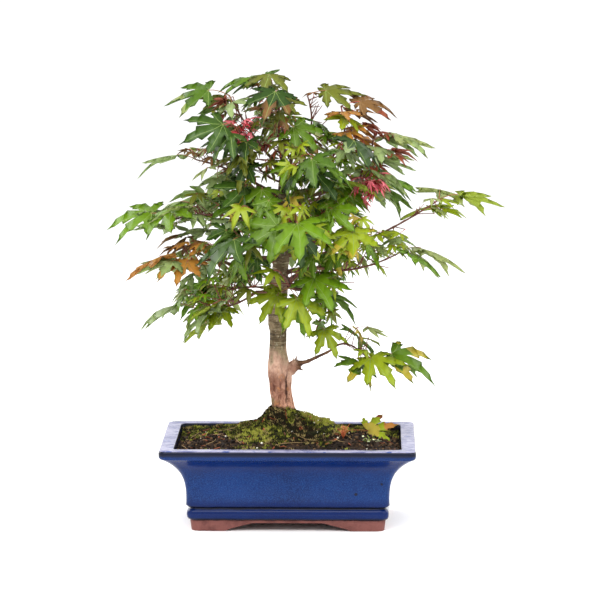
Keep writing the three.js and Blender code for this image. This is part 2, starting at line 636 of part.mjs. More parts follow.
// One spray: a stem from its foot to its leader leaf, side shoots in pairs, and an opposite pair of leaves and
// a last leaf at the end of every shoot. Each yield lets the other sprays grow as far.
class Spray {
  constructor(row, index) {
    Object.assign(this, row);
    this.roll = dice(7 + index * 1543);
    Object.assign(this, sprayFoot(row, index));
    this.tip = place(row);
    this.space = spaceOf(this.foot, this.tip, this.spread);
    this.pieces = [];
    this.leafCount = 0;
  }

  jitter(spread) {
    return (this.roll() * 2 - 1) * spread;
  }

  keep(body) {
    takenSolids.push({ owner: this, body });
    this.pieces.push(body);
  }

  keepLeaf(leaf) {
    takenLeaves.push({ ...leaf, owner: this });
    const body = leafSolid(leaf);
    if (this.blocked || !standsClear(body, this)) return false;
    this.leafCount++;
    this.keep(body);
    return true;
  }

  // Whether a side shoot's twig passes clear of every leaf and limb.
  twigFits(line) {
    const { limbClearance, stalkClearance } = growth;
    const near = ({ owner, ends, radius }) =>
      owner !== this && gapBetween(line, ends) < radius + limbClearance + 1;
    return !limbLines.some(near) && !takenLeaves.some((leaf) =>
      leaf.lobes.some((lobe) => gapAcross(leaf.up, line, lobe) < stalkClearance * leaf.length),
    );
  }

  // Grows a leaf from a bud, turning, lowering and shortening it until it fits.
  addLeaf(bud, bearing, rise, share) {
    const [turn, swing, dip, scale] = [22, 16, 12, 0.12].map((spread) => this.jitter(spread));
    const droop = leafShape.droop * (1 + this.jitter(0.5));
    for (let n = 0; n < growth.tries; n++) {
      const length = this.leaf * share * (1 + scale) * (1 - 0.045 * n);
      const swerve = (n % 2 ? 1 : -1) * growth.swerve * n;
      const stalk = towards(bearing + swerve, rise + (n % 4 < 2 ? -1 : 1) * growth.lift * n);
      const joint = bud.clone().addScaledVector(stalk, length * petiole.length);
      const outward = bearingOf(joint.clone().sub(crownAxis));
      const ease = (((outward - bearing + 540) % 360) - 180) * 0.3;
      const face = turn - growth.facing * Math.sin(radians(outward - bearing));
      const aim = bearing + ease + swing + swerve;
      const leaf = makeLeaf(joint, aim, this.hang + dip + 3 * n, face, length, droop);
      leaf.node = bud;
      if (fits(leaf, this, this.space)) return this.keepLeaf(leaf);
    }
    return false;
  }

  addTwig(curve, steps, radii) {
    this.keep(largest(twigSolid(curve, steps, radii).subtract(trunkGrown)));
    const line = Array.from({ length: steps + 1 }, (_, i) => curve.getPointAt(i / steps));
    addLimb(this, line, radii[0]);
    return line;
  }

  sideShoot(bud, bearing, rise) {
    const length = this.foot.distanceTo(this.tip) * twig.sideLength * (1 + this.jitter(0.25));
    const end = bud.clone().addScaledVector(towards(bearing, rise), length);
    if (!this.twigFits([bud, end])) return;
    const line = new THREE.LineCurve3(bud, end);
    this.blocked = !standsClear(twigSolid(line, 1, twig.sideRadius), this);
    const turns = [0, twig.fork, -twig.fork].map((turn) => bearing + turn + this.jitter(14));
    const kept = turns.map((turn, i) =>
      this.addLeaf(end, turn, (i ? 12 : 20) + this.jitter(14), i ? 0.92 : 0.84),
    );
    this.blocked = false;
    if (kept.some(Boolean)) this.addTwig(line, 1, twig.sideRadius);
  }

  // The leader leaf is set by the furthest tip, and the stem by the leader leaf.
  *grow() {
    const bearing = bearingOf(this.tip.clone().sub(this.foot));
    const { droop } = leafShape;
    const turn = growth.leaderFacing * Math.cos(radians(bearing));
    const probe = makeLeaf(new THREE.Vector3(), bearing, this.hang, turn, this.leaf, droop);
    const joint = this.tip.clone().sub(probe.at([1, 0]));
    const leader = makeLeaf(joint, bearing, this.hang, turn, this.leaf, droop);
    const end = joint.clone().addScaledVector(towards(bearing, 14), -this.leaf * petiole.length);
    leader.node = end;
    this.keepLeaf(leader);
    const bend = this.foot.clone().addScaledVector(this.start, this.foot.distanceTo(end) * 0.45);
    const stem = new THREE.QuadraticBezierCurve3(this.foot, bend, end);
    const buds = this.addTwig(stem, this.pairs + growth.shoots + 1, twig.radius);
    yield;
    for (const side of [1, -1]) {
      this.addLeaf(end, bearing + side * twig.fork + this.jitter(10), 8 + this.jitter(12), 0.95);
    }
    yield;
    for (let i = this.pairs + growth.shoots; i > 0; i--) {
      const level = i % 2 === 1;
      for (const side of [1, -1]) {
        const turn = bearing + side * (level ? 64 : 32) + this.jitter(14);
        const rise = (level ? 8 : 6 + 40 * side) + this.jitter(12);
        if (i > growth.shoots) this.addLeaf(buds[i], turn, rise, 0.95);
        else this.sideShoot(buds[i], turn, rise);
      }
      yield;
    }
  }

  solid() {
    return largest(fuse(this.pieces));
  }
}

// ---------------------------------------------------------------- assembly

const plant = new THREE.Group();

function addMesh(name, manifold, colour) {
  const mesh = new THREE.Mesh(geometryOf(manifold), new THREE.MeshStandardMaterial(colours[colour]));
  mesh.name = name;
  plant.add(mesh);
}

const [pot, soil] = [potBody(), soilSolid()];
const moss = mossMound(soil);
addMesh('pot_body', pot, 'glaze');
addMesh('pot_base', potBase(), 'terracotta');
addMesh('soil', soil, 'soil');
addMesh('moss_mound', moss, 'moss');
addMesh('trunk', trunkSolid(), 'bark');

const trunkGrown = trunkSolid(clearance);
takenSolids.push({ owner: 'trunk', body: trunkGrown });
addLimb('trunk', trunkStations.map(stationPoint), trunkStations[4].radius);
boughs.forEach((bough, i) => {
  const body = boughSolid(bough, boughCurves[i], trunkGrown);
  takenSolids.push({ owner: bough, body });
  addLimb(bough, boughCurves[i].getPoints(4), bough.girth);
  addMesh(`bough_${bough.name}`, body, 'twigBark');
});

function tintOf(spray) {
  return Object.keys(leafTints).find((tint) => leafTints[tint].includes(spray.name)) ?? 'leafGreen';
}

const grown = sprays.map((row, i) => new Spray(row, i));
let growing = grown.map((spray) => spray.grow());
while (growing.length > 0) {
  growing = growing.filter((spray) => !spray.next().done);
}
grown.forEach((spray) => addMesh(`foliage_${spray.name}`, spray.solid(), tintOf(spray)));
console.log(`${grown.reduce((sum, spray) => sum + spray.leafCount, 0)} leaves of ${takenLeaves.length}`);

// Lowers a solid in small steps until it rests on one of the solids below it.
function settled(body, below) {
  const step = -0.1;
  const lower = body.translate([0, 0, step]);
  const free = below.every((other) => lower.minGap(other, 1) >= clearance);
  return free ? settled(lower, below) : body;
}

// The fallen leaf lies on the soil, its tip over the rim.
function fallenLeafSolid() {
  const { at, bearing, hang, turn, length } = fallenLeaf;
  const leaf = makeLeaf(new THREE.Vector3(...at, trunkFoot), bearing, hang, turn, length, leafShape.droop);
  leaf.node = leaf.joint.clone().addScaledVector(leaf.aim, -length * petiole.length);
  return settled(leafSolid(leaf), [soil, moss, pot]);
}
addMesh('fallen_leaf', fallenLeafSolid(), 'leafLime');

// The origin is the middle of the whole part's footprint, on the ground.
const box = new THREE.Box3().setFromObject(plant);
plant.position.set(-(box.min.x + box.max.x) / 2, -(box.min.y + box.max.y) / 2, 0);
const part = new THREE.Group();
part.add(plant);

export default part;
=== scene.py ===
import math
import random

import bmesh
import bpy
import numpy as np
from mathutils import Matrix, Vector, noise


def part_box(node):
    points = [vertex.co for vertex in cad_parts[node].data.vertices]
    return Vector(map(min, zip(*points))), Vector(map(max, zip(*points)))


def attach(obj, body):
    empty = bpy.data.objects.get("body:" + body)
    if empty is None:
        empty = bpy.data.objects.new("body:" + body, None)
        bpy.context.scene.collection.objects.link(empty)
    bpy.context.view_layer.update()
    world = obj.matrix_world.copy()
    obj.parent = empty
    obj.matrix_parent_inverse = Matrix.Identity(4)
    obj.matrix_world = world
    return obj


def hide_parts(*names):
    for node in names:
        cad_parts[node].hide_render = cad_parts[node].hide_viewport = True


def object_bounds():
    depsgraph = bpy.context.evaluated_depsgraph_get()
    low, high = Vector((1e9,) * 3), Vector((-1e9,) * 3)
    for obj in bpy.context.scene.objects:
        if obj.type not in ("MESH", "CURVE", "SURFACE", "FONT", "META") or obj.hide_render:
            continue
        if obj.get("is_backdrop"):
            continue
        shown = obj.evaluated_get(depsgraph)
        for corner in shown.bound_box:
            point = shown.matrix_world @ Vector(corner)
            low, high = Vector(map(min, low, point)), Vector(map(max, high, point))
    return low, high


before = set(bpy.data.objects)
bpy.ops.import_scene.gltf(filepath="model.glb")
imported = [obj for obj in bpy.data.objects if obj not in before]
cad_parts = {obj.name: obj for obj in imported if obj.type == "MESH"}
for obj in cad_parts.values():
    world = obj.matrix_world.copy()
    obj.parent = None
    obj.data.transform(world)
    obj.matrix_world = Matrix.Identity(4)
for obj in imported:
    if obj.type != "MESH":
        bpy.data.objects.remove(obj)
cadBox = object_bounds()
print("frame:", len(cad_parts), "nodes")
noise.seed_set(7)  # without a seed, noise vectors start from the clock

# lengths below are in millimetres from the middle of the pot, on the ground
mm = 0.001
potLow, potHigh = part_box("pot_body")
potMiddle = Vector(((potLow.x + potHigh.x) / 2, (potLow.y + potHigh.y) / 2, 0))
trunkFoot = round(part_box("trunk")[0].z / mm, 2)


def clamp(value, low, high):
    return max(low, min(high, value))


def lerp(a, b, t):
    return a + (b - a) * t


def smooth(low, high, value):
    t = clamp((value - low) / (high - low), 0, 1)
    return t * t * (3 - 2 * t)


camera = {
    "aimRight": 9.2, "aimHeight": 188.5, "away": 3031, "azimuth": 1.15, "elevation": 7.735, "lens": 215.4,
    "sensor": 36, "farthest": 50,
}


def addCamera():
    turn, lift = math.radians(camera["azimuth"]), math.radians(camera["elevation"])
    back = Vector((math.sin(turn) * math.cos(lift), -math.cos(turn) * math.cos(lift), math.sin(lift)))
    aim = potMiddle + Vector((camera["aimRight"], 0, camera["aimHeight"])) * mm
    thing = bpy.data.objects.new("camera", bpy.data.cameras.new("camera"))
    thing.data.lens = camera["lens"]
    thing.data.sensor_width = camera["sensor"]
    thing.data.clip_end = camera["farthest"]
    thing.location = aim + back * camera["away"] * mm
    thing.rotation_euler = (-back).to_track_quat("-Z", "Y").to_euler()
    bpy.context.scene.collection.objects.link(thing)
    bpy.context.scene.camera = thing


addCamera()


class Wire:
    # a node's socket; sums on it are written as sums, and node() adds any other node beside it
    def __init__(self, socket):
        self.socket = socket

    def node(self, kind, settings=(), inputs=(), out=0):
        made = self.socket.id_data.nodes.new("ShaderNode" + kind)
        for name, value in dict(settings).items():
            setattr(made, name, value)
        for key, value in dict(inputs).items():
            plug(made.inputs[key], value)
        return Wire(made.outputs[out])

    def sum(self, operation, first, second=0.0):
        return self.node("Math", {"operation": operation}, {0: first, 1: second})

    def __add__(self, other):
        return self.sum("ADD", self, other)

    def __radd__(self, other):
        return self.sum("ADD", other, self)

    def __sub__(self, other):
        return self.sum("SUBTRACT", self, other)

    def __rsub__(self, other):
        return self.sum("SUBTRACT", other, self)

    def __mul__(self, other):
        return self.sum("MULTIPLY", self, other)

    def __rmul__(self, other):
        return self.sum("MULTIPLY", other, self)

    def __truediv__(self, other):
        return self.sum("DIVIDE", self, other)

    def step(self, low, high):
        # 0 below low and 1 above high, with a smooth rise between
        settings = {"interpolation_type": "SMOOTHSTEP"}
        return self.node("MapRange", settings, {"Value": self, "From Min": low, "From Max": high})

    def between(self, low, high):
        # a colour, low where this is 0 and high where it is 1
        return self.node("Mix", {"data_type": "RGBA"}, {0: self, 6: low, 7: high}, out=2)

    def noise(self, scale, detail=3, roughness=0.5):
        inputs = {"Vector": self, "Scale": scale, "Detail": detail, "Roughness": roughness}
        return self.node("TexNoise", {}, inputs)

    def along(self, axis):
        # how far a place lies along an axis, in millimetres
        return self.node("SeparateXYZ", {}, {0: self}, out=axis) / mm


def plug(socket, value):
    if isinstance(value, Wire):
        socket.id_data.links.new(value.socket, socket)
    elif hasattr(value, "__len__") and len(value) == 3 and socket.type == "RGBA":
        socket.default_value = (*value, 1)
    else:
        socket.default_value = value


def newMaterial(name, plain=(), make=None):
    # a Principled material: plain holds its fixed sockets, and make(place) returns the ones that vary
    material = bpy.data.materials.new(name)
    material.use_nodes = True
    tree = material.node_tree
    shader = tree.nodes["Principled BSDF"]
    place = Wire(tree.nodes.new("ShaderNodeTexCoord").outputs["Object"])
    for key, value in dict(plain).items():
        plug(shader.inputs[key], value)
    for key, value in (make(place) if make else {}).items():
        plug(shader.inputs[key], value)
    return material


def bump(place, height, strength, distance):
    return place.node("Bump", {}, {"Strength": strength, "Distance": distance, "Height": height})


def srgb(red, green, blue):
    # a screen colour of 0 to 255 as the linear colour that a shader takes
    shares = [part / 255 for part in (red, green, blue)]
    return tuple(s / 12.92 if s < 0.04045 else ((s + 0.055) / 1.055) ** 2.4 for s in shares)


def addPiece(name, mesh, materials, slot, replaced=()):
    thing = bpy.data.objects.new(name, mesh)
    bpy.context.scene.collection.objects.link(thing)
    for material in materials:
        mesh.materials.append(material)
    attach(thing, "root")
    if replaced:
        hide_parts(*replaced)
    return thing


def meshOf(work, name, shadeSmooth=True):
    # a finished mesh, in metres and in its place, from a bmesh in millimetres from the pot's middle
    bmesh.ops.transform(work, matrix=Matrix.Translation(potMiddle) @ Matrix.Scale(mm, 4), verts=work.verts)
    mesh = bpy.data.meshes.new(name)
    work.to_mesh(mesh)
    work.free()
    mesh.polygons.foreach_set("use_smooth", [shadeSmooth] * len(mesh.polygons))
    return mesh


class Heap:
    # many small closed shapes joined as one mesh of triangles, each with its own plain finish
    def __init__(self):
        self.points, self.faces, self.finishes, self.count = [], [], [], 0

    def add(self, points, faces, finish=0):
        self.points.append(points)
        self.faces.append(faces + self.count)
        self.finishes.append(np.broadcast_to(finish, len(faces)))
        self.count += len(points)

    def mesh(self, name, shadeSmooth=True):
        points = np.concatenate(self.points) * mm + np.array(potMiddle)
        faces = np.concatenate(self.faces)
        mesh = bpy.data.meshes.new(name)
        mesh.vertices.add(len(points))
        mesh.vertices.foreach_set("co", points.ravel())
        mesh.loops.add(faces.size)
        mesh.loops.foreach_set("vertex_index", faces.ravel())
        mesh.polygons.add(len(faces))
        mesh.polygons.foreach_set("loop_start", np.arange(0, faces.size, 3))
        mesh.polygons.foreach_set("material_index", np.concatenate(self.finishes))
        mesh.polygons.foreach_set("use_smooth", [shadeSmooth] * len(faces))
        mesh.update(calc_edges=True)
        mesh.validate()
        return mesh


def extruded(work, edges):
    # the edges and the points of a copy of a ring, joined to it by faces
    made = bmesh.ops.extrude_edge_only(work, edges=edges)["geom"]
    kinds = (bmesh.types.BMEdge, bmesh.types.BMVert)
    return [[item for item in made if isinstance(item, kind)] for kind in kinds]


def unit(vector):
    return vector / np.linalg.norm(vector)


def limbFaces(count, sides):
    # the triangles of a limb of rings, with a middle point at each end
    faces = []
    for i in range(count - 1):
        for j in range(sides):
            a, b = i * sides + j, i * sides + (j + 1) % sides
            faces += [(a, b, b + sides), (a, b + sides, a + sides)]
    first, last = count * sides, count * sides + 1
    for j in range(sides):
        k = (j + 1) % sides
        faces += [(first, k, j), (last, (count - 1) * sides + j, (count - 1) * sides + k)]
    return np.array(faces)


def tube(points, radii, sides, stretch=(1, 1)):
    # points and triangles of a closed limb along a line of points
    points = np.asarray(points, float)
    ahead = np.gradient(points, axis=0)
    steep = abs(unit(ahead[0])[2]) >= 0.9
    across = unit(np.cross(ahead[0], (0.94, 0.31, 0.17) if steep else (0.31, 0.17, 0.94)))
    turns = 2 * math.pi * np.arange(sides) / sides
    rings = []
    for point, way, radius in zip(points, ahead, radii):
        way = unit(way)
        across = unit(across - way * across.dot(way))
        other = np.cross(way, across)
        ring = np.outer(np.cos(turns), across) * stretch[0] + np.outer(np.sin(turns), other) * stretch[1]
        rings.append(point + ring * np.reshape(radius, (-1, 1)))
    return np.concatenate(rings + [points[:1], points[-1:]]), limbFaces(len(rings), sides)


# the pot's glazed body: two bands at its foot, a cove and a rolled rim round the soil
pot = {
    "baseHeight": 9.5, "floor": 7, "wall": 6, "rimWidth": 12.4, "corner": 6, "waistInset": 21.9,
    "footInset": 25, "coveFrom": 26, "lip": 7.5, "cornerSteps": 8, "sideSteps": 70, "endSteps": 50,
    "coveSteps": 22, "unevenness": 0.22, "drainRadius": 8, "drainSpread": 42,
}
potSize = (potHigh - potLow) / mm
potTop = potSize.z + pot["baseHeight"]
cavityLevels = (26, 40, 52, potTop - 13, potTop - 8)


def coveInset(z):
    t = clamp((z - pot["coveFrom"]) / (potTop - pot["lip"] - pot["coveFrom"]), 0, 1)
    return lerp(pot["waistInset"], 1.2, 0.6 * t ** 2.5 + 0.4 * t ** 4.5)


def cavityHalf(margin):
    # half the opening's length and depth, less a margin
    return [size / 2 - pot["rimWidth"] - margin for size in (potSize.x, potSize.y)]


def cavityInset(z):
    return max(pot["rimWidth"], coveInset(z) + pot["wall"])


def profileLine():
    # how far in from the rim's edge, and how high, from the foot up the outside and down the inside
    foot, bottom, waist = pot["footInset"], pot["baseHeight"], pot["waistInset"]
    outside = [
        (foot, bottom), (foot - 1.6, bottom + 0.9), (foot - 2.4, bottom + 2.6), (foot - 2.7, bottom + 5),
        (foot - 2.3, bottom + 7.4), (foot - 1.3, bottom + 9), (foot + 0.2, bottom + 9.9),
        (foot - 0.2, bottom + 10.5), (foot - 1.9, bottom + 11.2),
        (waist - 0.2, bottom + 13), (waist, pot["coveFrom"]),
    ]
    for i in range(1, pot["coveSteps"] + 1):
        z = lerp(pot["coveFrom"], potTop - pot["lip"], math.sin(math.pi / 2 * i / pot["coveSteps"]))
        outside.append((coveInset(z), z))
    lip = [(0.2, potTop - 6), (0, potTop - 4.4), (0, potTop - 2.6), (0.25, potTop - 1.3), (0.9, potTop - 0.4)]
    top = [(2, potTop), (pot["rimWidth"] / 2, potTop - 0.15), (pot["rimWidth"] - 1.2, potTop)]
    inside = [(pot["rimWidth"] - 0.3, potTop - 0.4), (pot["rimWidth"], potTop - 1.4)]
    inside += [(cavityInset(z), z) for z in reversed(cavityLevels)]
    inside.append((cavityInset(bottom + pot["floor"]), bottom + pot["floor"]))
    return outside + lip + top + inside


def roundedRing(work, inset, z):
    # a level rectangle with round corners, as a closed line of edges
    size = (potSize.x / 2 - inset, potSize.y / 2 - inset)
    corners = [work.verts.new((x * size[0], y * size[1], z)) for x, y in ((1, 1), (-1, 1), (-1, -1), (1, -1))]
    for a, b in zip(corners, corners[1:] + corners[:1]):
        work.edges.new((a, b))
    bmesh.ops.bevel(work, geom=corners, offset=pot["corner"], segments=pot["cornerSteps"], profile=0.5,
                    affect="VERTICES", material=-1)
    for share, steps in ((0, pot["sideSteps"]), (1, pot["endSteps"])):
        long = [edge for edge in work.edges
                if edge.calc_length() > 40 and abs((edge.verts[0].co - edge.verts[1].co)[1 - share]) < 1]
        bmesh.ops.subdivide_edges(work, edges=long, cuts=steps)
    return list(work.edges)


def resized(place, inset, nextInset):
    # a place on the rounded ring, moved to the ring of another inset with corners of the same radius
    moved = []
    for value, half in ((place.x, potSize.x / 2), (place.y, potSize.y / 2)):
        core = half - inset - pot["corner"]
        kept = clamp(value, -core, core)
        moved.append(kept * (core + inset - nextInset) / core + value - kept)
    return moved


def sweepUp(work, edges, line):
    # carries a ring of edges through a line of insets and heights
    inset = line[0][0]
    for nextInset, nextZ in line[1:]:
        edges, verts = extruded(work, edges)
        for vert in verts:
            vert.co = Vector((*resized(vert.co, inset, nextInset), nextZ))
        inset = nextInset
    return edges


def buildPot():
    work = bmesh.new()
    line = profileLine()
    edges = roundedRing(work, *line[0])
    bottom = list(edges)
    top = sweepUp(work, edges, line)
    bmesh.ops.contextual_create(work, geom=bottom)
    bmesh.ops.contextual_create(work, geom=top)
    bmesh.ops.recalc_face_normals(work, faces=work.faces)
    for vert in work.verts:
        if vert.co.z > pot["baseHeight"] + 1:
            wave = noise.noise(vert.co * 0.035) + 0.4 * noise.noise(vert.co * 0.12)
            vert.co += Vector((vert.normal.x, vert.normal.y, 0.5 * vert.normal.z)) * wave * pot["unevenness"]
    mesh = meshOf(work, "glazed_pot")
    thing = addPiece("glazed_pot", mesh, [glaze()], "glaze", ["pot_body"])
    drillDrains(thing)
    return thing


def drillDrains(thing):
    # two round holes through the floor
    work = bmesh.new()
    for side in (-1, 1):
        spot = Matrix.Translation((side * pot["drainSpread"], 0, pot["baseHeight"] + pot["floor"] / 2))
        bmesh.ops.create_cone(work, cap_ends=True, segments=24, radius1=pot["drainRadius"],
                              radius2=pot["drainRadius"], depth=pot["floor"] * 2, matrix=spot)
    cutter = bpy.data.objects.new("drain_cutter", meshOf(work, "drain_cutter"))
    bpy.context.scene.collection.objects.link(cutter)
    cut = thing.modifiers.new("drains", "BOOLEAN")
    cut.operation = "DIFFERENCE"
    cut.object = cutter
    cut.solver = "EXACT"
    whole = bpy.data.meshes.new_from_object(thing.evaluated_get(bpy.context.evaluated_depsgraph_get()))
    thing.modifiers.clear()
    thing.data = whole
    bpy.data.objects.remove(cutter)


def glaze():
    def make(place):
        z = place.along(2)
        level = z + (place.noise(60, 4) * 1.6 - 0.8)
        cloud = place.noise(22, 4, 0.6).step(0.35, 0.7)
        speckle = place.noise(1300, 2, 0.7).step(0.42, 0.66)
        body = cloud.between(srgb(2, 28, 74), srgb(4, 40, 94))
        body = (speckle * 0.42).between(body, srgb(34, 78, 146))
        # darker on the lip's face; painted shade in the groove, under the band, inside the rim, under the lip
        # and low down
        rim = level.step(potTop - 6, potTop - 3.4) - z.step(potTop - 0.5, potTop - 0.1)
        # painted shade: a deeper blue under the rolled lip
        shadeUnderLip = level.step(potTop - 28, potTop - 10) * (1 - level.step(potTop - 9, potTop - 7) * 0.6)
        # painted shade in the groove above the foot band
        grooveShade = level.step(18.2, 19.4) * (1 - level.step(20.6, 22.2))
        # painted shade along the foot band's underside
        foot = 1 - level.step(10.2, 12.2)
        # deep: the painted shade under the lip, and a painted shade over the lower band
        deep = z.sum("MAXIMUM", shadeUnderLip, 1 - level.step(22, 30)) * 0.7
        # painted shade on the cavity's wall between the rim and the soil
        within = [1 - place.sum("ABSOLUTE", place.along(k) - potMiddle[k] / mm).step(edge - 1, edge)
                  for k, edge in enumerate(cavityHalf(-0.8))]
        cavityShade = within[0] * within[1] * z.step(59, 61)
        # dark: the lip's darker face with the painted shade of the groove, the band's underside and the
        # cavity
        dark = z.sum("MAXIMUM", rim.sum("MAXIMUM", rim, grooveShade), foot.sum("MAXIMUM", foot, cavityShade * 0.8))
        body = deep.between(body, srgb(4, 20, 72))
        body = (dark * 0.92).between(body, srgb(14, 16, 30))
        # the rim's top: its own mottled glaze with blue streaks, made pale lilac as a painted reflection of
        # the bright sky
        inside = z.step(potTop - 0.7, potTop - 0.4)
        mottle = place.noise(55, 5, 0.7)
        top = mottle.step(0.36, 0.6).between(srgb(92, 96, 142), srgb(164, 162, 190))
        top = place.noise(130, 3).step(0.6, 0.7).between(top, srgb(70, 88, 150))
        body = (inside * 0.85).between(body, top)
        pits = place.node("TexVoronoi", {"feature": "F1"}, {"Vector": place, "Scale": 42, "Randomness": 1})
        pinholes = (1 - pits.step(0.045, 0.075)) * place.noise(14, 1).step(0.52, 0.56)
        body = pinholes.between(body, srgb(16, 22, 40))
        ripple = place.noise(120, 3) * 0.6 + place.noise(420, 2) * 0.25
        return {
            "Base Color": body,
            "Roughness": 0.13 + speckle * 0.07,
            "Normal": bump(place, ripple, 0.22, 0.0012),
        }
    plain = {"Coat Weight": 0.1, "Coat Roughness": 0.05, "Specular IOR Level": 0.12}
    return newMaterial("cobalt_glaze", plain, make)


feet = {"edge": 0.55, "flat": 4, "sharp": 35}


def buildFeet():
    # the unglazed foot plate with its four corner feet, its edges softened
    work = bmesh.new()
    work.from_mesh(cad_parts["pot_base"].data)
    bmesh.ops.remove_doubles(work, verts=work.verts, dist=0.02 * mm)
    flat = math.radians(feet["flat"])
    bmesh.ops.dissolve_limit(work, angle_limit=flat, verts=work.verts, edges=work.edges)
    sharp = [edge for edge in work.edges
             if edge.is_manifold and edge.calc_face_angle() > math.radians(feet["sharp"])]
    bmesh.ops.bevel(work, geom=sharp, offset=feet["edge"] * mm, segments=2, profile=0.5, affect="EDGES",
                    material=-1, clamp_overlap=True)
    bmesh.ops.triangulate(work, faces=work.faces)
    mesh = bpy.data.meshes.new("pot_feet")
    work.to_mesh(mesh)
    work.free()
    return addPiece("pot_feet", mesh, [terracotta()], "terracotta", ["pot_base"])


def terracotta():
    def make(place):
        stain = place.noise(70, 5, 0.65).step(0.4, 0.68)
        grit = place.noise(1400, 2, 0.8)
        body = stain.between(srgb(118, 72, 66), srgb(82, 46, 42))
        body = (grit.step(0.6, 0.8) * 0.5).between(body, srgb(150, 108, 98))
        # darker in patches along the plate's top edge, where the pot's body stands on it
        darkTopPatches = place.along(2).step(8.6, 9.4) * place.noise(150, 3).step(0.45, 0.6)
        body = (darkTopPatches * 0.8).between(body, srgb(38, 26, 30))
        return {"Base Color": body, "Roughness": 0.75 + grit * 0.2,
                "Normal": bump(place, grit + place.noise(300, 3), 0.35, 0.0006)}
    return newMaterial("bare_terracotta", {"Specular IOR Level": 0.3}, make)


buildPot()
buildFeet()
print("pot done")

# the soil, domed and cloddy, and the moss heap round the trunk
soil = {
    "edgeDrop": 6, "dome": 13, "sideGap": 0.5, "rings": 46, "clods": 1.1, "grains": 2600,
    "grainSize": (0.55, 1.5), "perlite": 30, "perliteSize": (0.6, 1.05), "litter": 130, "straws": 20,
}
moss = {
    "right": -5.4, "depth": 0.86, "baseRadius": 54, "topRadius": 9.4, "foot": 7, "unevenness": 0.12,
    "sides": 120, "rings": 60, "lumps": 1.3, "heapTufts": 3700, "bedTufts": 2700, "blades": 7,
    "blade": (1.5, 3.4),
}


def soilLevel(x, y):
    half = cavityHalf(0)
    dome = max(0, 1 - (x / half[0]) ** 2) * max(0, 1 - (y / half[1]) ** 2)
    lumps = math.sin(x * 0.11 + 1) * math.cos(y * 0.13) + 0.6 * math.sin(x * 0.23 - y * 0.19)
    return potTop - soil["edgeDrop"] + soil["dome"] * dome + 0.7 * lumps


def heapPlace(turn, radius):
    return moss["right"] + radius * math.cos(turn), radius * moss["depth"] * math.sin(turn)


def fromHeap(x, y):
    # a place's bearing and distance from the heap's middle
    across, back = x - moss["right"], y / moss["depth"]
    return math.atan2(back, across), math.hypot(across, back)


def heapRadius(share, turn):
    wave = math.sin(3 * turn + 0.7) * math.cos(2 * turn)
    reach = share ** 0.62 if share > 0.2 else share * 0.2 ** 0.62 / 0.2
    return lerp(moss["baseRadius"], moss["topRadius"], reach) * (1 + moss["unevenness"] * (1 - share) * wave)


def heapLevel(share):
    foot, top = potTop + moss["foot"], trunkFoot - 0.3
    if share > 0.2:
        return lerp(foot, top, share ** 1.7)
    return lerp(potTop - 4, lerp(foot, top, 0.2 ** 1.7), share / 0.2)


def heapSlump(x, y, share):
    # the heap lies lower against the trunk's right, runs out there in a shelf, and has broad humps
    shelf = 4 * smooth(6, 20, x) * (1 - smooth(34, 50, x)) * math.exp(-((y - 2) / 17) ** 2)
    dip = 2.6 * math.exp(-((x + 25) / 7) ** 2) + 3.4 * smooth(-2, 6, x) * smooth(0.7, 0.95, share)
    return shelf - dip + 2 * lumpiness(x, y, 2, 15) * (1 - share)


def lumpiness(x, y, z, size):
    return noise.noise(Vector((x, y, z)) / size)


def groundLevel(x, y):
    # the height of whatever lies at a place in the pot: the soil or the heap
    level = soilLevel(x, y)
    turn, radius = fromHeap(x, y)
    if radius < moss["baseRadius"]:
        low, high = 0.0, 1.0
        for _ in range(12):
            share = (low + high) / 2
            low, high = (share, high) if heapRadius(share, turn) > radius else (low, share)
        level = max(level, heapLevel(low) + heapSlump(x, y, low))
    return level


def mossiness(x, y):
    # how far moss covers the soil beside the heap: most at the back and right, bare in front
    patch = lumpiness(x, y, 3, 24) + 0.5 * lumpiness(x, y, 9, 9)
    back = smooth(-26, 22, y)
    tongue = math.exp(-((x + 22) / 20) ** 2 - ((y + 46) / 20) ** 2)
    bare = 0.5 * smooth(60, 92, abs(x)) * (1 - back) + 0.6 * smooth(48, 62, x) * (1 - smooth(10, 28, y))
    return 0.35 + back * 0.5 + tongue * 0.62 + patch * 0.75 - bare


def capEnds(work, top, bottom):
    # closes a swept body's two ends
    bmesh.ops.contextual_create(work, geom=top)
    bmesh.ops.contextual_create(work, geom=bottom)
    bmesh.ops.triangulate(work, faces=work.faces)
    bmesh.ops.recalc_face_normals(work, faces=work.faces)


def buildSoil():
    work = bmesh.new()
    inset = pot["rimWidth"] + soil["sideGap"]
    depths = [(cavityInset(z) + soil["sideGap"], z) for z in cavityLevels]
    edges = roundedRing(work, *depths[0])
    bottom = list(edges)
    edges = sweepUp(work, edges, depths + [(inset, potTop - soil["edgeDrop"] - 2)])
    for k in range(soil["rings"]):
        edges, verts = extruded(work, edges)
        share = (1 - k / soil["rings"]) / (1 - (k - 1) / soil["rings"]) if k else 1
        for vert in verts:
            x, y = vert.co.x * share, vert.co.y * share
            inner = smooth(0, 4, k)
            clod = abs(lumpiness(x, y, 0, 5.5)) * 1.5 + 0.6 * lumpiness(x, y, 4, 2.4)
            vert.co = Vector((x, y, soilLevel(x, y) + inner * soil["clods"] * clod - 0.8))
    capEnds(work, edges, bottom)
    return addPiece("soil_bed", meshOf(work, "soil_bed"), [earth()], "soil", ["soil"])


def earth():
    def make(place):
        crumb = place.noise(420, 4, 0.7)
        patch = place.noise(60, 3)
        body = patch.step(0.35, 0.65).between(srgb(26, 18, 12), srgb(54, 38, 26))
        body = (crumb.step(0.55, 0.75) * 0.8).between(body, srgb(88, 66, 46))
        return {"Base Color": body, "Roughness": 0.85 + crumb * 0.15,
                "Normal": bump(place, crumb, 0.8, 0.0012)}
    return newMaterial("bonsai_earth", {"Specular IOR Level": 0.25}, make)


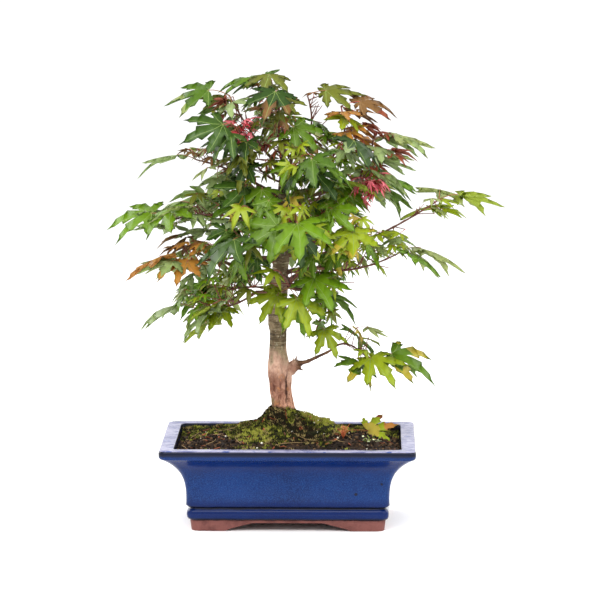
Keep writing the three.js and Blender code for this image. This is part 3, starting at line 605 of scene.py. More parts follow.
def plainMaterial(name, colour, roughness, glow=0.0, specular=0.35, make=None):
    # one plain colour all over, with some of the light behind it showing through where glow is set
    plain = {"Base Color": colour, "Roughness": roughness, "Specular IOR Level": specular}
    material = newMaterial(name, plain, make)
    if glow:
        tree = material.node_tree
        shader, end = tree.nodes["Principled BSDF"], tree.nodes["Material Output"]
        through = tree.nodes.new("ShaderNodeBsdfTranslucent")
        through.inputs["Color"].default_value = (*[min(1, part * 1.7) for part in colour], 1)
        mixed = tree.nodes.new("ShaderNodeMixShader")
        mixed.inputs[0].default_value = glow
        tree.links.new(shader.outputs[0], mixed.inputs[1])
        tree.links.new(through.outputs[0], mixed.inputs[2])
        tree.links.new(mixed.outputs[0], end.inputs["Surface"])
    return material


def plainSet(prefix, shades, roughness, glow=0.0, specular=0.35):
    # a plain material for each named screen colour
    return [plainMaterial(prefix + name, srgb(*shade), roughness, glow, specular)
            for name, shade in shades.items()]


def buildHeap():
    # the heap's own body under its tufts
    work = bmesh.new()
    count = moss["sides"]
    for k in range(moss["rings"] + 1):
        share = k / moss["rings"]
        ring = []
        for j in range(count):
            turn = 2 * math.pi * j / count
            r = heapRadius(share, turn)
            x, y = heapPlace(turn, r)
            z = heapLevel(share)
            bulge = moss["lumps"] * (lumpiness(x, y, z, 7) + 0.5 * lumpiness(x, y, z, 3))
            floor = soilLevel(x, y) - 1.5
            ring.append((x, y, max(z + (bulge + heapSlump(x, y, share)) - 0.6, floor if k else floor - 1)))
        if k == 0:
            verts = [work.verts.new(p) for p in ring]
            edges = [work.edges.new((a, b)) for a, b in zip(verts, verts[1:] + verts[:1])]
            first = list(edges)
            continue
        edges, verts = extruded(work, edges)
        for vert in verts:
            turn = fromHeap(vert.co.x, vert.co.y)[0] % (2 * math.pi)
            vert.co = ring[round(turn / (2 * math.pi) * count) % count]
    capEnds(work, edges, first)
    return addPiece("moss_heap", meshOf(work, "moss_heap"), [mossBody()], "moss", ["moss_mound"])


def mossBody():
    def make(place):
        patch = place.noise(70, 4, 0.6)
        fine = place.noise(900, 2, 0.8)
        # dark brown of soil and old moss, darker still as painted shade in the gaps between the tufts
        body = patch.step(0.38, 0.6).between(srgb(22, 16, 8), srgb(36, 38, 14))
        body = (fine.step(0.45, 0.75) * 0.4).between(body, srgb(92, 96, 36))
        return {"Base Color": body, "Roughness": 0.9, "Normal": bump(place, fine, 0.8, 0.001)}
    return newMaterial("moss_body", {"Specular IOR Level": 0.2}, make)


def mossGreens():
    # deep and brown: darker moss that also stands as painted shade among the tufts
    shades = {
        "bright": (164, 166, 68), "olive": (84, 88, 28), "deep": (28, 31, 11), "straw": (162, 144, 92),
        "brown": (40, 28, 15),
    }
    return plainSet("moss_", shades, 0.9, specular=0.2)


def tuft(heap, dice, x, y, z, size, finish):
    # a few tapering blades that lean out from one spot
    base = np.array((x, y, z))
    for _ in range(moss["blades"]):
        turn, lean = dice.uniform(0, 2 * math.pi), dice.uniform(0.1, 0.85)
        length = size * dice.uniform(0.6, 1.1)
        root = base + np.array((math.cos(turn), math.sin(turn), 0)) * size * dice.uniform(0.05, 0.4)
        way = np.array((math.cos(turn) * lean, math.sin(turn) * lean, 1.0))
        way /= np.linalg.norm(way)
        across = unit(np.cross(way, (math.cos(turn + 1), math.sin(turn + 1), 0.2)))
        other = np.cross(way, across)
        thick = 0.3 * size / 2
        corners = [root + (across * math.cos(a) + other * math.sin(a)) * thick for a in (0, 2.1, 4.2)]
        points = np.array(corners + [root + way * length])
        heap.add(points, np.array([(0, 2, 1), (0, 1, 3), (1, 2, 3), (2, 0, 3)]), finish)


def mossShade(dice, x, y, onHeap):
    # which green a tuft takes (0 bright, 1 olive, 2 deep, 3 straw, 4 brown): dark by the trunk, bright at the
    # right and the front left, brown at the front right
    worn = lumpiness(x, y, 5, 9) + dice.uniform(-0.15, 0.15)
    near = math.hypot(x - moss["right"], y)
    bright = 1.2 * smooth(5, 12, x) * smooth(-13, -5, y) * (1 - smooth(8, 30, y))
    bright += math.exp(-((x + 30) / 15) ** 2 - ((y + 30) / 13) ** 2)
    brown = smooth(-8, 8, x) * (1 - smooth(-24, -12, y)) + 0.8 * (1 - smooth(15, 26, near)) * (x < 8)
    if onHeap and brown + worn > 0.5:
        return dice.choice((4, 4, 4, 2, 2, 3))
    if bright + worn * 0.7 > 0.45:
        return dice.choice((0, 0, 0, 1, 3))
    return dice.choice((1, 1, 2, 2, 0, 4)) if worn < 0.1 else dice.choice((4, 4, 3, 2, 1))


def buildMossTufts():
    dice = random.Random(11)
    greens = mossGreens()
    heap = Heap()
    for _ in range(moss["heapTufts"]):
        turn, share = dice.uniform(0, 2 * math.pi), dice.random() ** 1.25
        r = heapRadius(share, turn)
        x, y = heapPlace(turn, r)
        size = dice.uniform(*moss["blade"])
        level = max(heapLevel(share) + heapSlump(x, y, share), soilLevel(x, y))
        tuft(heap, dice, x, y, level - 0.5 + lumpiness(x, y, level, 7), size, mossShade(dice, x, y, True))
    addPiece("moss_tufts", heap.mesh("moss_tufts", False), greens, "moss")
    heap = Heap()
    half = cavityHalf(2)
    planted = 0
    while planted < moss["bedTufts"]:
        x, y = dice.uniform(-half[0], half[0]), dice.uniform(-half[1], half[1])
        if mossiness(x, y) < 0.5 + dice.uniform(-0.08, 0.08):
            continue
        planted += 1
        size = dice.uniform(*moss["blade"]) * 0.9
        level = groundLevel(x, y) - 0.3 + 2.4 * smooth(24, 58, y)
        tuft(heap, dice, x, y, level, size, mossShade(dice, x, y, False))
    addPiece("moss_on_soil", heap.mesh("moss_on_soil", False), greens, "moss")


def grainShape():
    # a small faceted ball as plain arrays
    work = bmesh.new()
    bmesh.ops.create_icosphere(work, subdivisions=1, radius=1)
    work.verts.ensure_lookup_table()
    points = np.array([v.co for v in work.verts])
    faces = np.array([[v.index for v in f.verts] for f in work.faces])
    work.free()
    return points, faces


def buildGrains():
    dice = random.Random(5)
    points, faces = grainShape()
    jitter = np.random.default_rng(5)
    heap = Heap()
    half = cavityHalf(1.5)
    for _ in range(soil["grains"]):
        x, y = dice.uniform(-half[0], half[0]), dice.uniform(-half[1], half[1])
        if mossiness(x, y) > 0.62 or fromHeap(x, y)[1] < moss["baseRadius"] * 0.8:
            continue
        size = dice.uniform(*soil["grainSize"]) * (1.5 if dice.random() < 0.12 else 1)
        shape = points * jitter.uniform(0.6, 1.25, (len(points), 1)) * jitter.uniform(0.7, 1.1, 3) * size
        heap.add(shape + (x, y, groundLevel(x, y) + size * 0.2), faces, dice.choice((0, 0, 1, 2, 3)))
    for _ in range(soil["perlite"]):
        x, y = dice.uniform(-half[0], half[0]), dice.uniform(-half[1], half[1] * 0.5)
        size = dice.uniform(*soil["perliteSize"])
        shape = points * jitter.uniform(0.7, 1.2, (len(points), 1)) * size
        heap.add(shape + (x, y, groundLevel(x, y) + size * 0.8), faces, 4)
    shades = {
        "black": (24, 17, 12), "brown": (60, 43, 30), "tan": (104, 80, 56), "grey": (40, 30, 22),
        "perlite": (232, 226, 208),
    }
    materials = plainSet("grain_", shades, 0.9, specular=0.2)
    addPiece("soil_grains", heap.mesh("soil_grains", False), materials, "soil")


def buildLitter():
    # dead leaf scraps, root ends and a few straws lying on the soil
    dice = random.Random(8)
    heap = Heap()
    half = cavityHalf(5)
    for k in range(soil["litter"] + soil["straws"]):
        straw = k >= soil["litter"]
        x, y = dice.uniform(-half[0], half[0]), dice.uniform(-half[1], half[1])
        turn, length = dice.uniform(0, math.pi), dice.uniform(9, 26) if straw else dice.uniform(2, 6)
        steps = 7 if straw else 3
        bend, line = dice.uniform(-0.5, 0.5), []
        for i in range(steps):
            s = (i / (steps - 1) - 0.5) * length
            px = clamp(x + s * math.cos(turn + bend * s / length), -half[0], half[0])
            py = clamp(y + s * math.sin(turn + bend * s / length), -half[1], half[1])
            line.append((px, py, groundLevel(px, py) + (1.3 if straw else 1.0) + dice.uniform(0, 0.5)))
        radius = 0.22 if straw else dice.uniform(0.35, 0.8)
        radii = [radius * (0.5 + 0.5 * math.sin(math.pi * (i + 0.5) / steps)) for i in range(steps)]
        points, faces = tube(line, radii, 4, (1, 1) if straw else (1.3, 0.35))
        heap.add(points, faces, 1 if straw else dice.choice((0, 0, 2)))
    shades = {"rust": (146, 72, 40), "straw": (168, 140, 96), "umber": (92, 58, 38)}
    addPiece("soil_litter", heap.mesh("soil_litter"), plainSet("litter_", shades, 0.8), "soil")


buildSoil()
buildHeap()
buildMossTufts()
buildGrains()
buildLitter()
print("soil and moss done")

# the tree grows by the same seeded rule as the solids: bearings turn from the pot's right-hand end, heights
# and reaches are in millimetres, heights above the trunk's foot
trunk = {
    "stations": [  # height, to the right, to the back, radius
        (0, -5.4, 0, 8.8), (8, -6.2, 0, 8.3), (18, -7.2, 0.5, 8.8), (27, -8, 1, 9.6), (38, -9, 1, 8.4),
        (52, -9.4, 1, 7), (72, -9.6, 0.5, 7.6), (84, -9.4, 0, 7), (120, -7.2, -1, 6.6), (150, -5.4, -0.5, 6),
        (180, -4.4, 0.5, 4.8), (206, -4, 1, 3.2),
    ],
    "stubs": [  # height, bearing, rise, length, radii
        (26, 2, 32, 19, (6, 4.2)), (79, 176, 38, 11.5, (4.4, 2.6)), (71, 352, 15, 10, (4, 2.6)),
    ],
    "flare": (5, 12, 0.07), "sides": 72, "step": 0.8,
}
boughs = {  # leaves the trunk at, then its tip's bearing, reach and height, girth and arch
    "stub_right": (34, 350, 40, 52, 1.7, -0.06), "low_right": (100, 331, 24, 96, 1.9, 0.1),
    "low_left": (96, 191, 34, 94, 2.3, 0.12), "left": (122, 194, 45, 128, 2.6, 0.05),
    "mid_left": (146, 176, 45, 160, 2.4, 0.08), "high_left": (172, 186, 32, 192, 2.1, 0.05),
    "top_left": (194, 190, 23, 221, 1.8, 0.04), "leader": (206, 130, 9, 235, 1.9, 0.03),
    "top_right": (200, 22, 14, 222, 1.6, 0.04), "crown_right": (190, 358, 32, 207, 2, 0.03),
    "high_right": (168, 6, 43, 184, 2.2, 0.05), "right": (130, 355, 48, 136, 2.5, -0.08),
    "mid_right": (112, 340, 38, 118, 2.1, 0.06), "front_high": (158, 274, 31, 165, 2, 0.08),
    "front_left": (138, 240, 34, 144, 2.1, 0.08), "front_low": (106, 272, 28, 110, 2.1, 0.1),
    "front_right": (134, 312, 35, 141, 2, 0.08), "front_top": (184, 284, 22, 203, 1.7, 0.05),
    "back_left": (150, 130, 43, 160, 2.3, 0.06), "back_right": (162, 48, 43, 172, 2.3, 0.06),
    "back": (126, 88, 39, 133, 2.3, 0.08), "back_low": (102, 60, 34, 106, 2.1, 0.1),
    "back_low_left": (92, 136, 35, 98, 2, 0.1), "back_top": (188, 84, 24, 212, 1.7, 0.05),
}
# each spray's furthest tip by bearing, reach and height, its spread, pairs of leaves, leaf length and hang,
# and the height where it leaves the trunk if no bough bears it
sprays = {
    "stub_right": (353, 122, 13, 52, 2, 47, 30), "low_right": (318, 50, 40, 50, 2, 30, 55),
    "low_left": (181, 126, 58, 65, 3, 42, 28), "left": (190, 140, 98, 65, 3, 43, 32),
    "mid_left": (178, 155, 137, 63, 3, 46, 20), "high_left": (180, 126, 188, 61, 3, 40, 24),
    "top_left": (184, 108, 250, 57, 3, 43, 10), "crown": (178, 66, 266, 57, 3, 37, 4),
    "top_right": (2, 66, 250, 52, 2, 38, 12), "crown_right": (357, 96, 245, 52, 2, 38, 6),
    "high_right": (5, 126, 206, 59, 3, 43, 18), "right": (0, 185, 170, 48, 2, 42, 0),
    "mid_right": (358, 143, 102, 61, 3, 46, 32), "front_high": (276, 114, 124, 68, 3, 46, 48),
    "front_left": (240, 116, 112, 61, 3, 46, 41), "front_low": (272, 106, 74, 65, 3, 46, 40),
    "front_right": (322, 116, 114, 61, 3, 45, 52), "front_top": (286, 104, 186, 61, 3, 40, 34),
    "back_left": (134, 136, 144, 65, 3, 43, 28), "back_right": (44, 138, 160, 65, 3, 43, 26),
    "back": (90, 134, 112, 65, 3, 43, 34), "back_low": (52, 112, 66, 61, 3, 42, 40),
    "back_low_left": (140, 116, 62, 61, 3, 42, 38), "back_top": (84, 92, 214, 63, 3, 40, 20),
    "crown_front": (258, 72, 246, 52, 3, 37, 24, 203), "shoulder_left": (218, 100, 216, 56, 3, 40, 26, 190),
    "shoulder_right": (322, 102, 202, 56, 3, 40, 28, 176), "heart_left": (222, 74, 160, 54, 2, 38, 36, 152),
    "heart_right": (334, 78, 166, 54, 2, 38, 34, 156),
}
growth = {
    "shoots": 1, "tries": 9, "swerve": 7, "lift": 7, "facing": 30, "leaderFacing": 12, "overrun": 10,
    "flatness": 4, "lobeClearance": 0.16, "kinClearance": 0.13, "stalkClearance": 0.07, "limbClearance": 1,
    "petiole": 0.42, "droop": 0.26, "fork": 56, "sideLength": 0.3, "stemRadius": 1.15, "sideRadius": 0.5,
    "fineShoots": 0.85, "fineLength": (8, 19), "fineLeaf": (0.3, 0.58), "fineRadius": 0.35,
}
lobes = ((0, 1), (44, 0.9), (92, 0.62))  # each lobe's angle from the middle one and its reach
clearance = 0.3
crownAxis = np.array((-5, 0, trunkFoot + 130))


def towards(bearing, rise=0.0):
    b, r = math.radians(bearing), math.radians(rise)
    return np.array((math.cos(b) * math.cos(r), math.sin(b) * math.cos(r), math.sin(r)))


def bearingOf(way):
    return math.degrees(math.atan2(way[1], way[0]))


def placeAt(bearing, out, up):
    return towards(bearing) * out + np.array((0, 0, trunkFoot + up))


def turned(vector, axis, degrees):
    a = math.radians(degrees)
    rest = axis * axis.dot(vector) * (1 - math.cos(a))
    return vector * math.cos(a) + np.cross(axis, vector) * math.sin(a) + rest


def seeded(seed):
    # the same stream of numbers from 0 to 1 as the solids grow by
    state = seed
    while True:
        state = (state * 1664525 + 1013904223) % 4294967296
        yield state / 4294967296


def trunkAt(up):
    stations = trunk["stations"]
    above = next((i for i, s in enumerate(stations) if s[0] >= up), len(stations) - 1)
    above = clamp(above, 1, len(stations) - 1)
    a, b = stations[above - 1], stations[above]
    t = clamp((up - a[0]) / (b[0] - a[0]), 0, 1)
    centre = np.array((lerp(a[1], b[1], t), lerp(a[2], b[2], t), trunkFoot + lerp(a[0], b[0], t)))
    return centre, lerp(a[3], b[3], t)


def stubEnd(stub):
    up, bearing, rise, length, _ = stub
    return trunkAt(up)[0] + towards(bearing, rise) * length


def curveThrough(knots):
    # a rounded line through a few points, as a function of its share from 0 to 1
    knots = [2 * knots[0] - knots[1], *knots, 2 * knots[-1] - knots[-2]]
    last = len(knots) - 4

    def at(t):
        i = min(int(t * (last + 1)), last)
        s = t * (last + 1) - i
        p = knots[i:i + 4]
        gaps = [np.dot(b - a, b - a) ** 0.25 for a, b in zip(p, p[1:])]
        rise = [(p[k + 1] - p[k]) / gaps[k] for k in range(3)]
        begin = (rise[0] - (p[2] - p[0]) / (gaps[0] + gaps[1]) + rise[1]) * gaps[1]
        end = (rise[1] - (p[3] - p[1]) / (gaps[1] + gaps[2]) + rise[2]) * gaps[1]
        jump = p[1] - p[2]
        return p[1] + begin * s + (-3 * jump - 2 * begin - end) * s * s + (2 * jump + begin + end) * s ** 3
    return at


def bendThrough(start, pull, end):
    return lambda t: (1 - t) ** 2 * start + 2 * t * (1 - t) * pull + t * t * end


def evenly(curve, steps):
    # points at even distances along a curve
    shares = np.linspace(0, 1, 201)
    line = np.array([curve(t) for t in shares])
    runs = np.concatenate(([0], np.cumsum(np.linalg.norm(np.diff(line, axis=0), axis=1))))
    return np.array([curve(np.interp(runs[-1] * i / steps, runs, shares)) for i in range(steps + 1)])


def boughCurve(name, index):
    up, bearing, out, tipUp, _, arch = boughs[name]
    roll = seeded(41 + index * 977)
    tip = placeAt(bearing, out, tipUp)
    foot = stubEnd(trunk["stubs"][0]) if name == "stub_right" else trunkAt(up)[0]
    length = np.linalg.norm(tip - foot)
    knots = []
    for t in (0, 0.25, 0.5, 0.75, 1):
        right, back, lift = ((next(roll) * 2 - 1) * spread for spread in (0.05, 0.05, 0.04))
        knots.append(lerp(foot, tip, t) + np.array((right, back, lift + arch)) * 4 * t * (1 - t) * length)
    return curveThrough(knots)


boughCurves = [boughCurve(name, i) for i, name in enumerate(boughs)]


def gapsBetween(a, b, c, d):
    # shortest distances between the lines a-b and c-d, each an array of points
    u, v, w = b - a, d - c, a - c
    uu, uv, vv, uw, vw = ((p * q).sum(-1) for p, q in ((u, u), (u, v), (v, v), (u, w), (v, w)))
    spread = uu * vv - uv * uv
    s = np.where(spread > 1e-9, np.clip((uv * vw - vv * uw) / np.where(spread > 1e-9, spread, 1), 0, 1), 0)
    t = np.clip((uv * s + vw) / vv, 0, 1)
    s = np.clip((uv * t - uw) / uu, 0, 1)
    return np.linalg.norm(w + u * s[..., None] - v * t[..., None], axis=-1)


def gapsAcross(face, lines, others):
    # the same as a blade feels it: a way off its face counts several times
    def stretch(points):
        off = (points * face).sum(-1, keepdims=True)
        return points + face * off * (growth["flatness"] - 1)
    (a, b), (c, d) = [(stretch(ends[..., 0, :]), stretch(ends[..., 1, :])) for ends in (lines, others)]
    return gapsBetween(a, b, c, d)


class Leaf:
    def __init__(self, joint, bearing, hang, turn, length, droop):
        self.joint, self.length, self.droop = joint, length, droop
        self.lean(bearing, hang, turn)
        tips = []
        for angle, reach in lobes:
            for a in ((angle, -angle) if angle else (0,)):
                tips.append(self.at(math.cos(math.radians(a)) * reach, math.sin(math.radians(a)) * reach))
        self.lines = np.array([(joint, tip) for tip in tips])

    def lean(self, bearing, hang, turn):
        self.pose = (bearing, hang, turn)
        self.aim = towards(bearing, -hang)
        self.up = turned(towards(bearing, 90 - hang), self.aim, turn)
        self.side = np.cross(self.up, self.aim)

    def at(self, x, y):
        sag = self.droop * (x * x + y * y)
        return self.joint + (self.aim * x + self.side * y - self.up * sag) * self.length


taken = []  # every leaf of the tree
limbs = {"owner": [], "lines": [], "radius": []}


def addLimb(owner, points, radius):
    for a, b in zip(points, points[1:]):
        limbs["owner"].append(id(owner))
        limbs["lines"].append((a, b))
        limbs["radius"].append(radius)


def spaceOf(foot, tip, spread):
    middle, axis = (foot + tip) / 2, tip - foot
    half = np.linalg.norm(axis) / 2 + growth["overrun"]
    axis = unit(axis)

    def holds(point):
        offset = point - middle
        along = offset.dot(axis)
        return (along / half) ** 2 + (np.linalg.norm(offset - axis * along) / spread) ** 2 <= 1
    return holds


def fits(leaf, spray):
    # whether a leaf keeps to its spray's space, clear of every limb and every other leaf
    if not all(spray.space(tip) for _, tip in leaf.lines):
        return False
    owner, lines, radius = np.array(limbs["owner"]), np.array(limbs["lines"]), np.array(limbs["radius"])
    mine, other = leaf.lines[:, None], lines[None]
    room = np.where(owner == id(spray), growth["kinClearance"] / 2, growth["lobeClearance"]) * leaf.length
    if (gapsBetween(mine[..., 0, :], mine[..., 1, :], other[..., 0, :], other[..., 1, :])
            < radius + growth["limbClearance"]).any():
        return False
    if (gapsAcross(leaf.up, mine, other) < radius + room).any():
        return False
    near = [one for one in taken if np.linalg.norm(one.joint - leaf.joint) <= 2.4 * leaf.length]
    if not near:
        return True
    stalk = np.array((leaf.bud, leaf.joint))
    stalkRoom = growth["stalkClearance"] * leaf.length
    kin = np.array([one.spray is spray for one in near])
    room = np.where(kin, growth["kinClearance"], growth["lobeClearance"])[:, None, None] * leaf.length
    faces = np.array([one.up for one in near])[:, None, None]
    lines = np.array([one.lines for one in near])
    if (gapsAcross(faces[:, 0], stalk[None, None], lines) < stalkRoom).any():
        return False
    for face in (leaf.up, faces):
        if (gapsAcross(face, leaf.lines[None, :, None], lines[:, None]) < room).any():
            return False
    stalks = np.array([(one.bud, one.joint) for one in near])[:, None]
    return not (gapsAcross(leaf.up, leaf.lines[None], stalks) < stalkRoom).any()


class Spray:
    # a stem from its bough's tip or the trunk, a leader leaf, pairs of side shoots and pairs of leaves
    def __init__(self, name, index):
        self.name, self.roll, self.leaves, self.twigs = name, seeded(7 + index * 1543), [], []
        bearing, out, up, spread, self.pairs, self.leafLength, self.hang, *off = sprays[name]
        self.tip = placeAt(bearing, out, up)
        if off:
            centre, radius = trunkAt(off[0])
            self.start = towards(bearingOf(self.tip - centre), 12)
            self.foot = centre + self.start * (radius - 2)
        else:
            curve = boughCurves[index]
            self.start = unit(curve(1) - curve(0.9999))
            self.foot = curve(1) + self.start * clearance
        self.space = spaceOf(self.foot, self.tip, spread)

    def jitter(self, spread):
        return (next(self.roll) * 2 - 1) * spread

    def keepLeaf(self, leaf, bud, young=False):
        leaf.bud, leaf.spray, leaf.young = bud, self, young
        taken.append(leaf)
        self.leaves.append(leaf)
        return True

    def addLeaf(self, bud, bearing, rise, share, young=False):
        turn, swing, dip, scale = (self.jitter(spread) for spread in (22, 16, 12, 0.12))
        droop = growth["droop"] * (1 + self.jitter(0.5))
        for n in range(growth["tries"]):
            length = self.leafLength * share * (1 + scale) * (1 - 0.045 * n)
            swerve = (1 if n % 2 else -1) * growth["swerve"] * n
            stalk = towards(bearing + swerve, rise + (-1 if n % 4 < 2 else 1) * growth["lift"] * n)
            joint = bud + stalk * length * growth["petiole"]
            outward = bearingOf(joint - crownAxis)
            ease = ((outward - bearing + 540) % 360 - 180) * 0.3
            face = turn - growth["facing"] * math.sin(math.radians(outward - bearing))
            aim = bearing + ease + swing + swerve
            leaf = Leaf(joint, aim, self.hang + dip + 3 * n, face, length, droop)
            leaf.bud = bud
            if fits(leaf, self):
                return self.keepLeaf(leaf, bud, young)
        return False

    def addTwig(self, curve, steps, radius, thin):
        points = evenly(curve, steps)
        addLimb(self, points, radius)
        self.twigs.append((curve, thin))
        return points

    def twigFits(self, line):
        owner, lines, radius = np.array(limbs["owner"]), np.array(limbs["lines"]), np.array(limbs["radius"])
        gaps = gapsBetween(line[0], line[1], lines[:, 0], lines[:, 1])
        if ((owner != id(self)) & (gaps < radius + growth["limbClearance"] + 1)).any():
            return False
        faces = np.array([one.up for one in taken])[:, None]
        rooms = np.array([one.length for one in taken])[:, None] * growth["stalkClearance"]
        lobeLines = np.array([one.lines for one in taken])
        return not (gapsAcross(faces, np.array(line)[None, None], lobeLines) < rooms).any()

    def sideShoot(self, bud, bearing, rise):
        length = np.linalg.norm(self.foot - self.tip) * growth["sideLength"] * (1 + self.jitter(0.25))
        end = bud + towards(bearing, rise) * length
        if not self.twigFits((bud, end)):
            return
        turns = [bearing + turn + self.jitter(14) for turn in (0, growth["fork"], -growth["fork"])]
        kept = [self.addLeaf(end, turn, (12 if i else 20) + self.jitter(14), 0.92 if i else 0.84)
                for i, turn in enumerate(turns)]
        if any(kept):
            self.addTwig(lambda t: lerp(bud, end, t), 1, growth["sideRadius"], (0.62, 0.48))

    def fineShoot(self, bud, bearing, rise, dice):
        # a finer twig than the solids carry, with a pair of young leaves and a last one
        length = dice.uniform(*growth["fineLength"])
        end = bud + towards(bearing, rise) * length
        if not self.space(end) or not self.twigFits((bud, end)):
            return
        share = dice.uniform(*growth["fineLeaf"])
        kept = [self.addLeaf(end, bearing + turn + self.jitter(16), 14 + self.jitter(16), share, True)
                for turn in (0, 60, -60)]
        if any(kept):
            self.addTwig(lambda t: lerp(bud, end, t), 1, growth["fineRadius"], (0.46, 0.32))

    def grow(self):
        bearing = bearingOf(self.tip - self.foot)
        turn = growth["leaderFacing"] * math.cos(math.radians(bearing))
        leader = (bearing, self.hang, turn, self.leafLength, growth["droop"])
        joint = self.tip - Leaf(np.zeros(3), *leader).at(1, 0)
        end = joint - towards(bearing, 14) * self.leafLength * growth["petiole"]
        self.keepLeaf(Leaf(joint, *leader), end)
        pull = self.foot + self.start * np.linalg.norm(self.foot - end) * 0.45
        stem = bendThrough(self.foot, pull, end)
        self.buds = self.addTwig(stem, self.pairs + growth["shoots"] + 1, growth["stemRadius"], (0.95, 0.62))
        yield
        for side in (1, -1):
            aim = bearing + side * growth["fork"] + self.jitter(10)
            self.addLeaf(end, aim, 8 + self.jitter(12), 0.95)
        yield
        for i in range(self.pairs + growth["shoots"], 0, -1):
            level = i % 2 == 1
            for side in (1, -1):
                aim = bearing + side * (64 if level else 32) + self.jitter(14)
                rise = (8 if level else 6 + 40 * side) + self.jitter(12)
                if i > growth["shoots"]:
                    self.addLeaf(self.buds[i], aim, rise, 0.95)
                else:
                    self.sideShoot(self.buds[i], aim, rise)
            yield


def growTree():
    addLimb("trunk", [np.array((s[1], s[2], trunkFoot + s[0])) for s in trunk["stations"]],
            trunk["stations"][4][3])
    for curve, row in zip(boughCurves, boughs.values()):
        addLimb(row, [curve(t) for t in (0, 0.25, 0.5, 0.75, 1)], row[4])
    grown = [Spray(name, i) for i, name in enumerate(sprays)]
    growing = [spray.grow() for spray in grown]
    while growing:
        growing = [one for one in growing if next(one, "done") != "done"]
    return grown


def growFineShoots(grown):
    dice = random.Random(3)
    for spray in grown:
        bearing = bearingOf(spray.tip - spray.foot)
        ends = [curve(1) for curve, _ in spray.twigs[1:]]
        for bud in [*spray.buds[1:-1], *ends]:
            for side in (1, -1, 0):
                if dice.random() < growth["fineShoots"]:
                    aim = bearing + side * dice.uniform(15, 75)
                    rise = dice.uniform(-25, 60) if side else dice.uniform(30, 80)
                    spray.fineShoot(bud, aim, rise, dice)


grown = growTree()
mainLeaves = len(taken)
growFineShoots(grown)
print("growth:", mainLeaves, "leaves and", len(taken) - mainLeaves, "young ones")

# the trunk's bark: upright ridges and cracks below, rings and collars above, stubs of cut boughs
bark = {
    "ridgeDepth": 0.75, "crackBearing": 305, "crackDepth": 2.3, "ringDepth": 0.45, "stubSides": 26,
    "stubSteps": 22, "splinters": 9, "foot": -9, "waist": (54, 13, 0.08), "mostSwell": 0.18,
    "collars": ((78, 0.13), (70, 0.12), (26, 0.08)),  # heights and sizes
}


def trunkCentre(up):
    # the same line as the solid's, with its corners rounded
    near = [trunkAt(clamp(up + d, 0, trunk["stations"][-1][0])) for d in (-7, -3, 0, 3, 7)]
    return [sum(one[k] for one in near) / len(near) for k in (0, 1)]


def collars(up):
    # swellings where boughs leave and where old ones were cut
    swell = 0
    for row in boughs.values():
        swell += 0.05 * math.exp(-((up - row[0]) / 4) ** 2)
    for place, size in bark["collars"]:
        swell += size * math.exp(-((up - place) / 5) ** 2)
    return min(swell, bark["mostSwell"])


def barkRadius(up, turn, radius):
    count, rise, swell = trunk["flare"]
    flare = 1 + swell * math.exp(-up / rise) * (1 + math.cos(count * turn))
    old = 1 - smooth(48, 78, up)
    way = (math.cos(turn) * 2.2, math.sin(turn) * 2.2, up * 0.035)
    ridge = abs(noise.noise(Vector((way[0] * 1.5, way[1] * 1.5, way[2])))) * 2 - 0.4
    fine = noise.noise(Vector((way[0] * 4, way[1] * 4, up * 0.11)))
    away = (math.degrees(turn) - bark["crackBearing"] - 9 * math.sin(up * 0.13) + 540) % 360 - 180
    crack = math.exp(-(away / 9) ** 2) * smooth(-4, 6, up) * (1 - smooth(36, 52, up))
    ringed = smooth(50, 80, up) * noise.noise(Vector((way[0] * 0.5, way[1] * 0.5, up * 0.42)))
    lump = 0.5 * noise.noise(Vector((way[0] * 0.6, way[1] * 0.6, up * 0.07)))
    depth = old * (bark["ridgeDepth"] * ridge + 0.35 * fine) - crack * bark["crackDepth"] * old
    depth += bark["ringDepth"] * ringed + 0.12 * fine
    middle, reach, inset = bark["waist"]
    waist = 1 - inset * math.exp(-((up - middle) / reach) ** 2)
    return radius * flare * waist * (1 + collars(up)) + depth + lump * (0.4 + old * 0.7)


def buildTrunk():
    heap = Heap()
    top = trunk["stations"][-1][0]
    levels = np.concatenate((np.arange(bark["foot"], top, trunk["step"]), [top + 0.5, top + 2, top + 2.8]))
    points, radii = [], []
    turns = [2 * math.pi * j / trunk["sides"] for j in range(trunk["sides"])]
    for up in levels:
        centre, radius = trunkCentre(clamp(up, 0, top))
        centre = np.array((centre[0], centre[1], trunkFoot + up))
        shrink = 1 if up < top else (0.85 if up < top + 1 else 0.5 if up < top + 2.5 else 0.1)
        points.append(centre)
        radii.append([barkRadius(clamp(up, 0, top), turn, radius) * shrink for turn in turns])
    heap.add(*ringed(points, radii))
    for stub in trunk["stubs"]:
        addStub(heap, *stub)
    return addPiece("trunk_bark", heap.mesh("trunk_bark"), [barkLook()], "bark", ["trunk"])


def ringed(points, radii):
    # a closed limb of level rings
    sides = len(radii[0])
    turns = 2 * math.pi * np.arange(sides) / sides
    circle = np.stack((np.cos(turns), np.sin(turns), turns * 0), 1)
    rings = [point + circle * np.array(ring)[:, None] for point, ring in zip(points, radii)]
    return np.concatenate(rings + [[points[0]], [points[-1]]]), limbFaces(len(rings), sides)


